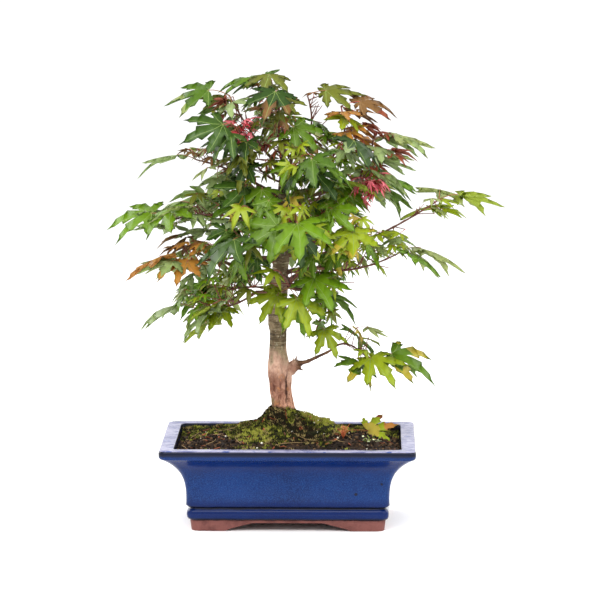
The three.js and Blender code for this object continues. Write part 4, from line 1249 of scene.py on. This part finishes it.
def addStub(heap, up, bearing, rise, length, radii):
    # a bough cut off long ago: bulging at its foot, torn at its end
    start, way = trunkAt(up)[0], towards(bearing, rise)
    steps, sides = bark["stubSteps"], bark["stubSides"]
    line, girths = [], []
    for i in range(steps + 1):
        t = i / steps
        line.append(start + way * (length + 0.6) * t)
        base = lerp(radii[0] * 1.04, radii[1], t) * (1 + 0.12 * math.exp(-((t - 0.55) / 0.12) ** 2))
        ring = []
        for j in range(sides):
            turn = 2 * math.pi * j / sides
            torn = noise.noise(Vector((math.cos(turn) * 2, math.sin(turn) * 2, t * 5 + up)))
            ragged = 1 + 0.12 * torn + 0.42 * smooth(0.55, 0.8, t) * max(0, torn)
            ring.append(base * ragged * (0.6 if t == 1 else 1))
        girths.append(ring)
    heap.add(*tube(line, girths, sides))
    across = towards(bearing + 90)
    over = np.cross(way, across)
    for k in range(bark["splinters"]):
        around = across * math.cos(k * 2.4) + over * math.sin(k * 2.4)
        root = start + way * length * (0.82 + 0.05 * math.sin(k * 5)) + around * radii[1] * 0.55
        tip = root + (way * (0.9 + 0.5 * math.sin(k * 3.1)) + around * 1.1) * radii[1] * 1.15
        heap.add(*tube([root, (root + tip) / 2, tip], (radii[1] * 0.4, radii[1] * 0.24, 0.15), 6, (1, 0.6)))


def barkLook():
    def make(place):
        z = place.along(2) - trunkFoot
        long = place.node("Mapping", {}, {"Vector": place, "Scale": (1, 1, 0.36)})
        flat = place.node("Mapping", {}, {"Vector": place, "Scale": (0.1, 0.1, 1)})
        right, front = [place.along(k) - potMiddle[k] / mm for k in (0, 1)]
        cracks = long.noise(420, 4, 0.65)
        patch = place.noise(95, 4, 0.6)
        fine = place.noise(1100, 3, 0.7)
        rings = flat.noise(330, 4, 0.7)
        level = z + patch * 20 + long.noise(160, 3) * 30 - 25
        low = patch.step(0.35, 0.65).between(srgb(126, 82, 64), srgb(202, 152, 126))
        middle = patch.step(0.35, 0.65).between(srgb(166, 126, 106), srgb(212, 176, 154))
        upper = patch.step(0.35, 0.65).between(srgb(86, 72, 50), srgb(146, 128, 98))
        low = (place.noise(520, 3, 0.7).step(0.5, 0.6) * 0.5).between(low, srgb(120, 70, 50))
        body = level.step(6, 44).between(low, middle)
        body = level.step(38, 50).between(body, upper)
        body = (level.step(96, 140) * 0.7).between(body, srgb(66, 54, 34))
        flake = place.noise(240, 3).step(0.56, 0.68) * (1 - level.step(24, 40))
        body = (flake * 0.55).between(body, srgb(200, 136, 88))
        dark = (1 - cracks.step(0.36, 0.5)) * (0.8 - level.step(14, 30) * 0.55)
        body = dark.between(body, srgb(84, 44, 32))
        ring = (1 - rings.step(0.4, 0.47)) * level.step(40, 54) * 0.8
        body = ring.between(body, srgb(54, 44, 32))
        pale = rings.step(0.56, 0.62) * level.step(40, 54) * 0.55
        body = pale.between(body, srgb(186, 174, 140))
        lichen = place.noise(210, 4, 0.7).step(0.56, 0.66) * level.step(38, 54) * 0.6
        body = lichen.between(body, srgb(176, 170, 146))
        wander = place.noise(85, 3) * 9 - 4.5
        split = 1 - place.sum("ABSOLUTE", right + wander + 1.5).step(0.25, 1.3)
        split = split * z.step(2, 8) * (1 - z.step(24, 34)) * (1 - front.step(-4, 0))
        body = (split * 0.9).between(body, srgb(48, 22, 16))
        torn = right.step(3.5, 8) * z.step(20, 26) * (1 - z.step(52, 58))
        torn = torn * (1 - 0.25 * (1 - right.step(6, 10)))
        body = (torn * 0.9).between(body, fine.step(0.4, 0.65).between(srgb(52, 32, 20), srgb(136, 92, 60)))
        green = place.noise(40, 3).step(0.55, 0.68) * (1 - level.step(6, 22)) * 0.7
        body = green.between(body, srgb(74, 84, 34))
        height = cracks * (1.2 - level.step(40, 75) * 0.8) + rings * level.step(40, 75) * 0.7 + fine * 0.25
        relief = bump(place, height, 0.7, 0.0012)
        return {"Base Color": body, "Roughness": 0.72 + fine * 0.2, "Normal": relief}
    return newMaterial("maple_bark", {"Specular IOR Level": 0.3}, make)


def buildBoughs():
    heap = Heap()
    for curve, (name, row) in zip(boughCurves, boughs.items()):
        steps, sides = 34, 12
        girth = row[4]
        line, girths = [], []
        for i in range(steps + 1):
            t = i / steps * (1 + 1.2 / 60)
            point = curve(min(t, 1)) + (curve(1) - curve(0.99)) * 100 * max(0, t - 1)
            wander = Vector(point) * 0.06
            point = point + np.array(noise.noise_vector(wander)) * 0.8 * math.sin(math.pi * min(t, 1))
            line.append(point)
            node = max(math.exp(-((t - place) / 0.02) ** 2) for place in (0.3, 0.52, 0.72, 0.9))
            base = lerp(girth * 1.15, girth * 0.52, min(t, 1) ** 0.8) * (1 + 0.22 * node)
            base *= 1 + 0.5 * math.exp(-t * 14)
            uneven = [noise.noise(Vector((j * 1.7, i * 0.4, girth))) for j in range(sides)]
            girths.append([base * (1 + 0.07 * part) for part in uneven])
        heap.add(*tube(line, girths, sides))
    nodes = ["bough_" + name for name in boughs]
    return addPiece("bough_bark", heap.mesh("bough_bark"), [boughLook()], "twig_bark", nodes)


def boughLook():
    def make(place):
        z = place.along(2) - trunkFoot
        patch = place.noise(130, 4, 0.6)
        fine = place.noise(900, 3, 0.7)
        body = patch.step(0.36, 0.64).between(srgb(72, 46, 34), srgb(118, 84, 58))
        body = (z.step(120, 190) * 0.6).between(body, srgb(84, 66, 38))
        body = ((1 - fine.step(0.3, 0.48)) * 0.6).between(body, srgb(40, 28, 22))
        return {"Base Color": body, "Roughness": 0.6 + fine * 0.2, "Normal": bump(place, fine, 0.5, 0.0006)}
    return newMaterial("bough_bark", {"Specular IOR Level": 0.35}, make)


buildTrunk()
buildBoughs()
print("trunk and boughs done")

# the leaves: five or seven toothed lobes, folded along their ribs and hanging at their tips
blade = {
    "sinus": 0.28, "heel": 0.09, "width": (0.46, 0.44, 0.35, 0.31), "small": (130, 0.3),
    "stations": (0.16, 0.33, 0.5, 0.67, 0.84), "teeth": 0.042, "fold": 0.085, "thickness": 0.28,
    "curl": 0.42, "shrink": 0.93, "sevenLobed": 0.45, "edged": 0.35,
}
tints = {
    "deep": (0.035, 0.085, 0.008), "dusk": (0.055, 0.120, 0.012), "green": (0.090, 0.185, 0.007),
    "mid": (0.125, 0.235, 0.008), "fresh": (0.170, 0.310, 0.008), "lime": (0.330, 0.410, 0.015),
    # pale and the greyish green after it are greens lightened as painted sheen: the white sky's reflection
    # and light through the leaves
    "pale": (0.370, 0.430, 0.140), "silver": (0.330, 0.430, 0.160), "olive": (0.170, 0.190, 0.014),
    "yellow": (0.520, 0.410, 0.045), "bronze": (0.240, 0.120, 0.032), "amber": (0.500, 0.240, 0.040),
    "rust": (0.320, 0.080, 0.035),
}
# the sprays at the sides take the pale and greyish sheen tints as painted sheen; those inside the crown take
# deep and dusk as painted shade
autumn = {  # how the leaves of each spray are tinted, its young ones, and the tips of some
    "stub_right": ("fresh mid fresh pale lime", "lime yellow pale", "yellow"),
    "low_right": ("lime fresh pale", "lime yellow olive", "yellow"),
    "low_left": ("pale fresh silver lime", "lime pale fresh", "silver"),
    "left": ("pale silver amber silver", "amber bronze pale", "amber"),
    "mid_left": ("pale silver fresh silver", "pale olive silver", "silver"),
    "high_left": ("silver pale green silver", "bronze pale", "silver"),
    "top_left": ("dusk olive silver bronze green", "olive bronze rust", "pale"),
    "crown": ("green olive silver mid", "bronze olive rust", "silver"),
    "top_right": ("dusk green silver olive", "fresh bronze", "pale"),
    "crown_right": ("bronze amber lime amber", "amber rust lime", "rust"),
    "high_right": ("silver pale green silver", "lime rust", "silver"),
    "right": ("silver pale lime", "lime pale", "silver"),
    "mid_right": ("pale silver fresh pale", "lime pale", "silver"),
    "front_high": ("green fresh mid deep", "lime yellow", "lime"),
    "front_left": ("mid dusk fresh mid", "fresh olive", "lime"),
    "front_low": ("fresh mid lime", "lime olive", "lime"),
    "front_right": ("lime fresh mid", "lime yellow", "yellow"),
    "front_top": ("mid deep fresh green", "lime olive", "olive"),
    # the hearts, shoulders and crown_front lie inside the crown: their darker tints are partly painted shade
    "heart_left": ("green yellow mid dusk", "lime amber", "amber"),
    "heart_right": ("mid dusk lime", "lime olive", "lime"),
    "shoulder_left": ("dusk deep olive", "olive amber", "olive"),
    "shoulder_right": ("dusk deep silver green", "fresh olive", "silver"),
    "crown_front": ("deep olive mid", "olive rust", "bronze"),
}
# usual: the tints of the other sprays, with the pale and greyish sheen tints among them as painted sheen
usual = ("silver fresh pale mid", "fresh lime", "pale")
poise = {  # how much of its hang each side spray's leaves keep: those at the sides lie nearly level
    "right": 0.2, "left": 0.3, "mid_left": 0.3, "high_left": 0.35, "top_left": 0.3, "top_right": 0.3,
    "crown_right": 0.3, "high_right": 0.35, "mid_right": 0.5, "low_left": 0.5, "crown": 0.2,
    "stub_right": 0.5, "back_top": 0.4, "back_left": 0.4, "back_right": 0.4,
}
leaning = {"usual": 0.72, "bearing": 28, "hang": 9, "free": 0.65, "freeTwist": 42, "twist": 24}
# where sky or trunk shows: from and to the right, from and to above the trunk's foot, and how far back
openings = (
    (-22, 15, -40, 60, 0), (-15, 9, 98, 134, 0), (80, 116, 84, 118, 200), (44, 80, 62, 104, 200),
    (-54, -20, 40, 78, 200), (-8, 8, 46, 80, 200), (-114, -84, 30, 62, 200), (-112, -72, 172, 202, 200),
    (104, 144, 134, 160, 200), (10, 50, 238, 258, 200), (60, 96, 150, 164, 200), (-60, -26, 212, 248, -26),
)


def bare(leaf):
    # whether a leaf would hang across an opening, as seen from in front and a little above
    inside = 0
    for point in [leaf.at(0.4, 0), leaf.at(0.75, 0), *[tip for _, tip in leaf.lines]]:
        right, height = point[0], point[2] - trunkFoot + point[1] * 0.136
        inside += any(a < right < b and low < height < high and point[1] < depth
                      for a, b, low, high, depth in openings)
    return inside > 2


def puckered(place):
    # a leaf's upper side rises and falls between its veins
    return {"Normal": bump(place, place.noise(230, 2) + place.noise(620, 2) * 0.4, 0.55, 0.0012)}


def leafMaterials():
    made = {}
    for name, colour in tints.items():
        paler = tuple(part * 0.85 + 0.03 for part in colour)
        made[name] = plainMaterial("leaf_" + name, colour, 0.33, 0.34, 0.45, puckered)
        made[name + " under"] = plainMaterial("leaf_under_" + name, paler, 0.6, 0.32, 0.3)
    return made


def lobeList(full):
    # each lobe's angle, reach and kind, from one side of the leaf to the other
    angles = [(angle, reach, kind) for kind, (angle, reach) in enumerate(lobes)]
    if full:
        angles.append((*blade["small"], 3))
    rows = [(-a, reach, kind) for a, reach, kind in reversed(angles[1:])]
    return rows + angles


def bladeGrid(full, fine):
    # a blade's flat pattern: for each lobe its rib's points and its edges' points, as bearings and reaches
    rows = lobeList(full)
    stations = blade["stations"] if fine else (0.45,)
    ribs, rims = [], []
    for angle, reach, kind in rows:
        a = math.radians(angle)
        way, across = np.array((math.cos(a), math.sin(a))), np.array((-math.sin(a), math.cos(a)))
        base = blade["sinus"] * (1 if kind < 3 else 0.6)
        lineUp = [way * base * 0.8]
        sides = ([], [])
        for n, t in enumerate(stations):
            along = lerp(base, reach, t)
            width = blade["width"][kind] * reach * t ** 0.8 * (1 - t) ** 1.55
            width += 0.1 * (1 - t) ** 2 * (0.6 if kind == 3 else 1)
            tooth = blade["teeth"] * (1 if n % 2 else -0.6) * (1.25 - t) * reach if fine else 0
            lineUp.append(way * along)
            for side, rim in ((-1, sides[0]), (1, sides[1])):
                rim.append(way * (along + tooth * 1.4) + across * side * (width + tooth))
        lineUp.append(way * reach)
        ribs.append(lineUp)
        rims.append(sides)
    notches = []
    for (a, _, kindA), (b, _, kindB) in zip(rows, rows[1:]):
        turn = math.radians((a + b) / 2)
        deep = blade["sinus"] * (0.62 if 3 in (kindA, kindB) else 1)
        notches.append(np.array((math.cos(turn), math.sin(turn))) * deep)
    last = math.radians(rows[-1][0] + 24)
    heels = [np.array((math.cos(last), s * math.sin(last))) * blade["heel"] * 1.6 for s in (-1, 1)]
    return ribs, rims, [heels[0], *notches, heels[1]]


def bladePattern(full, fine):
    # a blade's points as (x, y, lift over the rim), which of them are on the rim, the triangles of its upper
    # side, and the lobe that each point is on
    ribs, rims, notches = bladeGrid(full, fine)
    points, onRim, faces, number = [(0.0, 0.0, 0.0)], [True], [], [0]

    def put(place, lift, rim, lobe=0):
        points.append((place[0], place[1], lift))
        onRim.append(rim)
        number.append(lobe)
        return len(points) - 1

    edge = [put(place, 0.0, True) for place in notches]
    for i, (line, sides) in enumerate(zip(ribs, rims)):
        rib = [put(p, -blade["fold"] * (1 - (k / len(line)) ** 2), False, i) for k, p in enumerate(line[:-1])]
        tip = put(line[-1], 0.0, True, i)
        for side, rim in ((0, sides[0]), (1, sides[1])):
            outer = [edge[i + side]] + [put(place, 0.0, True, i) for place in rim]
            strips = [(0, rib[0], outer[0])]
            for k in range(len(rim)):
                strips += [(rib[k], rib[k + 1], outer[k]), (rib[k + 1], outer[k + 1], outer[k])]
            strips.append((rib[-1], tip, outer[-1]))
            faces += [(a, c, b) for a, b, c in strips] if side == 0 else strips
    return np.array(points), np.array(onRim), np.array(faces), np.array(number)


patterns = {(full, fine): bladePattern(full, fine) for full in (True, False) for fine in (True, False)}


def leafMesh(leaf, dice, full, fine):
    # both sides of one leaf as closed triangles, its upper side's first; each lobe bends and sways by itself
    flat, onRim, faces, lobe = patterns[full, fine]
    x, y = flat[:, 0], flat[:, 1]
    reach = np.hypot(x, y)
    sway = np.array([dice.uniform(-0.16, 0.16) for _ in range(7)])[lobe] * np.clip(reach - 0.3, 0, 1)
    bend = np.array([dice.uniform(-0.15, 0.8) for _ in range(7)])[lobe]
    twist = np.array([dice.uniform(-0.5, 0.5) for _ in range(7)])[lobe]
    turn = np.arctan2(y, x) + sway
    x, y = reach * np.cos(turn), reach * np.sin(turn)
    rows = np.radians([row[0] for row in lobeList(full)])[lobe]
    aside = reach * np.sin(np.arctan2(flat[:, 1], flat[:, 0]) - rows) * np.clip(reach - 0.3, 0, 1) * 1.6
    sag = leaf.droop * reach ** 2 + blade["curl"] * 2 * bend * np.clip(reach - 0.35, 0, 1) ** 2
    cup = 0.1 * dice.uniform(-0.4, 1) * np.abs(y)
    lift = flat[:, 2] + twist * aside
    surface = np.outer(x, leaf.aim) + np.outer(y, leaf.side) + np.outer(lift + cup - sag, leaf.up)
    upper = leaf.joint + surface * leaf.length
    inner = ~onRim
    lower = upper[inner] - leaf.up * blade["thickness"]
    upper = upper.copy()
    upper[inner] += leaf.up * blade["thickness"] * 0.1
    index = np.arange(len(flat))
    index[inner] = len(flat) + np.arange(inner.sum())
    return np.concatenate((upper, lower)), np.concatenate((faces, index[faces][:, ::-1]))


def ribsOf(points, full, fine):
    # the veins' lines from the leaf's joint to its tips, lying on its upper side
    count = len(lobeList(full))
    lines, at = [], count + 2
    steps = len(blade["stations"]) if fine else 1
    for _ in range(count):
        lines.append([points[0], *points[at:at + steps + 1]])
        at += 3 * steps + 2
    return lines


def petioleLine(leaf):
    length = np.linalg.norm(leaf.joint - leaf.bud)
    pull = leaf.joint - leaf.aim * length * 0.4 + np.array((0, 0, 0.06)) * length
    curve = bendThrough(leaf.bud, pull, leaf.joint + leaf.aim * 0.6)
    return [curve(t) for t in (0, 0.2, 0.45, 0.7, 0.88, 1)]


drawn = {"front": 2, "back": 4, "steeper": 5, "tries": 12}


def drawIn(leaf):
    # a leaf hangs steeper where its tips would pass the solids' own reach to the front or the back
    low, high = cadBox[0][1] / mm - drawn["front"], cadBox[1][1] / mm + drawn["back"]
    for _ in range(drawn["tries"]):
        turns = [(math.radians(side * angle), reach) for angle, reach in lobes for side in (-1, 1)]
        tips = [leaf.at(reach * math.cos(a), reach * math.sin(a))[1] for a, reach in turns]
        if low < min(tips) and max(tips) < high:
            return
        bearing, hang, turn = leaf.pose
        leaf.lean(bearing, hang + drawn["steeper"], turn)


def slotOf(spray):
    record = {
        "leaf_bronze": ("left", "crown_right"), "leaf_lime": ("low_right", "front_right", "low_left"),
        "leaf_dark": ("top_left", "high_left", "mid_left", "back_top", "high_right"),
    }
    return next((slot for slot, names in record.items() if spray in names), "leaf_green")


def buildFoliage():
    dice = random.Random(21)
    look = leafMaterials()
    for spray in grown:
        main, young, tips = [words.split() for words in autumn.get(spray.name, usual)]
        heap, used = Heap(), []
        level = poise.get(spray.name, leaning["usual"])
        twist = leaning["freeTwist"] if level > leaning["free"] else leaning["twist"]
        spray.leaves = [leaf for leaf in spray.leaves if not bare(leaf)]
        for leaf in spray.leaves:
            tint = dice.choice(young if leaf.young else main)
            bearing, hang, turn = leaf.pose
            hang = hang * level * dice.uniform(0.6, 1.25) + dice.uniform(-leaning["hang"], leaning["hang"])
            bearing += dice.uniform(-leaning["bearing"], leaning["bearing"])
            leaf.lean(bearing, hang, turn * level + dice.uniform(-twist, twist))
            leaf.length *= 1 if leaf.young else blade["shrink"]
            drawIn(leaf)
            full = not leaf.young and dice.random() < blade["sevenLobed"]
            fine = not leaf.young
            points, faces = leafMesh(leaf, dice, full, fine)
            edge = tips[0] if dice.random() < blade["edged"] else tint
            for name in (tint, tint + " under", edge):
                if name not in used:
                    used.append(name)
            half = len(faces) // 2
            finish = np.repeat([used.index(tint), used.index(tint + " under")], half)
            flat = patterns[full, fine][0]
            cut = np.array([dice.uniform(0.4, 1) for _ in range(7)])[patterns[full, fine][3]]
            outer = (np.hypot(flat[:, 0], flat[:, 1]) > cut)[faces[:half] % len(flat)].sum(1) > 1
            finish[:half][outer] = used.index(edge)
            heap.add(points, faces, finish)
            leaf.ribs = ribsOf(points, full, fine)
            leaf.tint = tint
        name, node = "leaves_" + spray.name, "foliage_" + spray.name
        addPiece(name, heap.mesh(name), [look[one] for one in used], slotOf(spray.name), [node])


# two clusters of narrow new leaves, coral red
coral = {"spots": ((-36, -52, 334), (88, -28, 292)), "leaves": 18, "narrow": 0.45}


def buildNewGrowth():
    dice = random.Random(9)
    heap = Heap()
    for spot in coral["spots"]:
        ends = [curve(t) for spray in grown for curve, _ in spray.twigs for t in (0.5, 0.75, 1)]
        base = min(ends, key=lambda end: np.linalg.norm((end - spot)[[0, 2]]) + 0.3 * abs(end[1] - spot[1]))
        for _ in range(coral["leaves"]):
            bearing, rise = dice.uniform(0, 360), dice.uniform(-85, 30)
            joint = base + towards(bearing, rise + 20) * dice.uniform(4, 15)
            stalk = bendThrough(base, (base + joint) / 2 + (0, 0, 1.5), joint)
            heap.add(*tube([stalk(t) for t in (0, 0.3, 0.6, 1)], (0.34, 0.3, 0.28, 0.3), 5), 1)
            leaf = Leaf(joint, bearing, -rise + 20, dice.uniform(-40, 40), dice.uniform(11, 17), 0.4)
            points, faces = leafMesh(leaf, dice, False, False)
            middle = leaf.joint + np.outer((points - leaf.joint) @ leaf.aim, leaf.aim)
            heap.add(middle + (points - middle) * coral["narrow"], faces, dice.choice((0, 0, 1)))
    shades = [
        plainMaterial("new_coral", (0.86, 0.20, 0.24), 0.4, 0.3),
        plainMaterial("new_red", (0.48, 0.04, 0.05), 0.4, 0.2),
    ]
    addPiece("new_growth", heap.mesh("new_growth"), shades, "leaf_bronze")


warm = ("bronze", "amber")  # the tints of leaves whose veins and stalks are reddish


def buildVeins():
    heap = Heap()
    for leaf in [one for spray in grown for one in spray.leaves if not one.young]:
        for line in leaf.ribs:
            line = [p + leaf.up * 0.12 for p in line]
            width = np.linspace(0.34, 0.12, len(line))
            heap.add(*tube(line, width, 3, (1, 0.6)), 1 if leaf.tint in warm else 0)
    shades = [
        plainMaterial("vein_pale", (0.30, 0.42, 0.10), 0.5),
        plainMaterial("vein_rust", (0.36, 0.22, 0.08), 0.5),
    ]
    addPiece("leaf_veins", heap.mesh("leaf_veins"), shades, "leaf_lime")


twigs = {
    "stemSteps": 26, "shootSteps": 7, "knuckle": 1.35, "bareShoots": 6,
    "bareRadii": (0.5, 0.42, 0.36, 0.3), "stalkRadii": (0.62, 0.42, 0.36, 0.34, 0.36, 0.42),
    "youngStalk": 0.68,
}


def buildTwigs():
    # stems with swollen joints, side twigs, and the leaves' stalks
    wood, stalks = Heap(), Heap()
    dice = random.Random(17)
    for spray in grown:
        for k, (curve, thick) in enumerate(spray.twigs):
            steps = twigs["stemSteps"] if k == 0 else twigs["shootSteps"]
            line = [curve(t) for t in np.linspace(0, 1, steps)]
            if k == 0:
                line[0] = line[0] - spray.start * 1.2
            radii = np.linspace(*thick, steps)
            if k == 0:
                joints = [np.argmin([np.linalg.norm(p - bud) for p in line]) for bud in spray.buds[1:-1]]
                radii[joints] *= twigs["knuckle"]
            wood.add(*tube(line, radii, 8 if k == 0 else 5), 0 if k == 0 else 1)
        stem = spray.twigs[0][0]
        for _ in range(twigs["bareShoots"]):
            foot = stem(dice.uniform(0.1, 0.95))
            aim = bearingOf(spray.tip - spray.foot) + dice.uniform(-80, 80)
            end = foot + towards(aim, dice.uniform(-10, 75)) * dice.uniform(6, 20)
            bend = (foot + end) / 2 + towards(dice.uniform(0, 360)) * 1.5
            shoot = bendThrough(foot, bend, end)
            wood.add(*tube([shoot(t) for t in (0, 0.35, 0.7, 1)], twigs["bareRadii"], 4), 1)
        for leaf in spray.leaves:
            radii = np.array(twigs["stalkRadii"]) * (twigs["youngStalk"] if leaf.young else 1)
            stalks.add(*tube(petioleLine(leaf), radii, 5), 1 if leaf.tint in warm or leaf.young else 0)
    woods = [
        plainMaterial("twig_brown", srgb(92, 54, 40), 0.55),
        plainMaterial("twig_red", srgb(112, 58, 44), 0.5),
    ]
    addPiece("twigs", wood.mesh("twigs"), woods, "twig_bark")
    shades = plainSet("stalk_", {"olive": (138, 92, 54), "red": (158, 66, 54)}, 0.45)
    addPiece("leaf_stalks", stalks.mesh("leaf_stalks"), shades, "twig_bark")


buildFoliage()
buildVeins()
buildTwigs()
buildNewGrowth()
print("foliage done")

# the fallen leaf on the soil, yellow-green with a withered end
fallen = {"joint": (67, 6), "bearing": 8, "hang": -16, "turn": 40, "length": 27, "petiole": (46, 0)}


def buildFallenLeaf():
    dice = random.Random(4)
    low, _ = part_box("fallen_leaf")
    joint = np.array((*fallen["joint"], low.z / mm + 7))
    leaf = Leaf(joint, fallen["bearing"], fallen["hang"], fallen["turn"], fallen["length"], 0.1)
    points, faces = leafMesh(leaf, dice, False, True)
    heap = Heap()
    flat = patterns[False, True][0]
    half = len(faces) // 2
    reach = np.hypot(flat[:, 0], flat[:, 1])[faces[:half] % len(flat)].mean(1)
    lobe = patterns[False, True][3][faces[:half] % len(flat)].max(1)
    finish = np.repeat([0, 1], half)  # 0 yellow-green, 1 gold, 2 orange, 3 rust
    finish[:half][(reach > 0.5) & (lobe == 2)] = 2
    finish[:half][(reach > 0.62) & (lobe == 3)] = 3
    finish[:half][reach < 0.36] = 1
    heap.add(points, faces, finish)
    place = fallen["petiole"]
    start = np.array((*place, groundLevel(*place) + 0.6))
    stalk = bendThrough(start, (start + joint) / 2 + (0, 0, 2), joint)
    heap.add(*tube([stalk(t) for t in np.linspace(0, 1, 8)], [0.4] * 8, 6), 3)
    shades = {
        "yellow_green": (172, 190, 48), "gold": (204, 186, 76), "orange": (212, 148, 76),
        "rust": (150, 90, 54),
    }
    looks = plainSet("fallen_", shades, 0.5, 0.25)
    addPiece("fallen_maple_leaf", heap.mesh("fallen_maple_leaf"), looks, "leaf_lime", ["fallen_leaf"])


# a small dried weed on the soil, and a few seedling leaflets in front of the fallen leaf
weed = {"place": (46, -26), "stems": 12, "scraps": 4}
leaflets = {"place": (68, -22), "count": 24}


def buildSprig():
    dice = random.Random(6)
    heap = Heap()
    base = np.array((*weed["place"], groundLevel(*weed["place"])))
    for _ in range(weed["stems"]):
        turn, length = dice.uniform(0, 360), dice.uniform(6, 15)
        tip = base + towards(turn, dice.uniform(38, 84)) * length
        stem = bendThrough(base, (base + tip) / 2 + (0, 0, 2), tip)
        heap.add(*tube([stem(t) for t in (0, 0.3, 0.6, 1)], (0.4, 0.34, 0.28, 0.16), 4), 0)
        for _ in range(weed["scraps"]):
            spot = stem(dice.uniform(0.35, 1))
            end = spot + towards(dice.uniform(0, 360), dice.uniform(0, 50)) * dice.uniform(1.4, 3)
            scrap = tube([spot, (spot + end) / 2, end], (0.2, 0.55, 0.1), 4, (1.4, 0.3))
            heap.add(*scrap, dice.choice((0, 1)))
    for _ in range(leaflets["count"]):
        x = leaflets["place"][0] + dice.uniform(-7, 7)
        y = leaflets["place"][1] + dice.uniform(-7, 6)
        spot = np.array((x, y, groundLevel(x, y) + dice.uniform(0.5, 3.2)))
        end = spot + towards(dice.uniform(0, 360), dice.uniform(-10, 40)) * dice.uniform(2.4, 5)
        leaflet = tube([spot, (spot + end) / 2, end], (0.3, 1.1, 0.2), 5, (1, 0.22))
        heap.add(*leaflet, dice.choice((2, 2, 3)))
    shades = {
        "red": (182, 92, 54), "ochre": (206, 146, 84), "mint": (224, 230, 186), "green": (130, 150, 60),
    }
    addPiece("weed_sprig", heap.mesh("weed_sprig"), plainSet("sprig_", shades, 0.6), "moss")


buildFallenLeaf()
buildSprig()
print("fallen leaf and sprig done")

# a plain pale floor in metres, an even white sky, and soft lamps: name, place, size and power
stage = {"floorHalf": 14, "ground": 0.98, "sky": 1.12, "aimHeight": 0.2}
lamps = (
    ("key", (-0.35, -1.1, 1.6), 1.6, 27), ("fill", (1.0, -0.7, 1.1), 1.6, 10),
    ("left_rim", (-1.1, 0.8, 0.8), 1.2, 14), ("right_rim", (1.2, 0.8, 0.8), 1.2, 9),
)


def buildStage():
    mesh = bpy.data.meshes.new("floor")
    corners = [Vector((x, y, 0)) * stage["floorHalf"] for x, y in ((-1, -1), (1, -1), (1, 1), (-1, 1))]
    mesh.from_pydata(corners, [], [(0, 1, 2, 3)])
    floor = bpy.data.objects.new("floor", mesh)
    bpy.context.scene.collection.objects.link(floor)
    plain = {"Base Color": (stage["ground"],) * 3, "Roughness": 0.95}
    mesh.materials.append(newMaterial("white_ground", plain))
    floor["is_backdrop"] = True
    world = bpy.data.worlds.new("studio")
    world.use_nodes = True
    sky = world.node_tree.nodes["Background"].inputs
    sky["Color"].default_value = (1, 1, 1, 1)
    sky["Strength"].default_value = stage["sky"]
    bpy.context.scene.world = world
    for name, place, size, power in lamps:
        lamp = bpy.data.lights.new(name, "AREA")
        lamp.shape, lamp.size, lamp.energy = "DISK", size, power
        thing = bpy.data.objects.new(name, lamp)
        thing.location = place
        aim = Vector((0, 0, stage["aimHeight"])) - Vector(place)
        thing.rotation_euler = aim.to_track_quat("-Z", "Y").to_euler()
        bpy.context.scene.collection.objects.link(thing)
    bpy.context.scene.view_settings.view_transform = "Standard"


buildStage()


def saveSize():
    boxes = {"cad": cadBox, "visual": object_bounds()}
    plain = {name: [list(map(float, corner)) for corner in box] for name, box in boxes.items()}


saveSize()
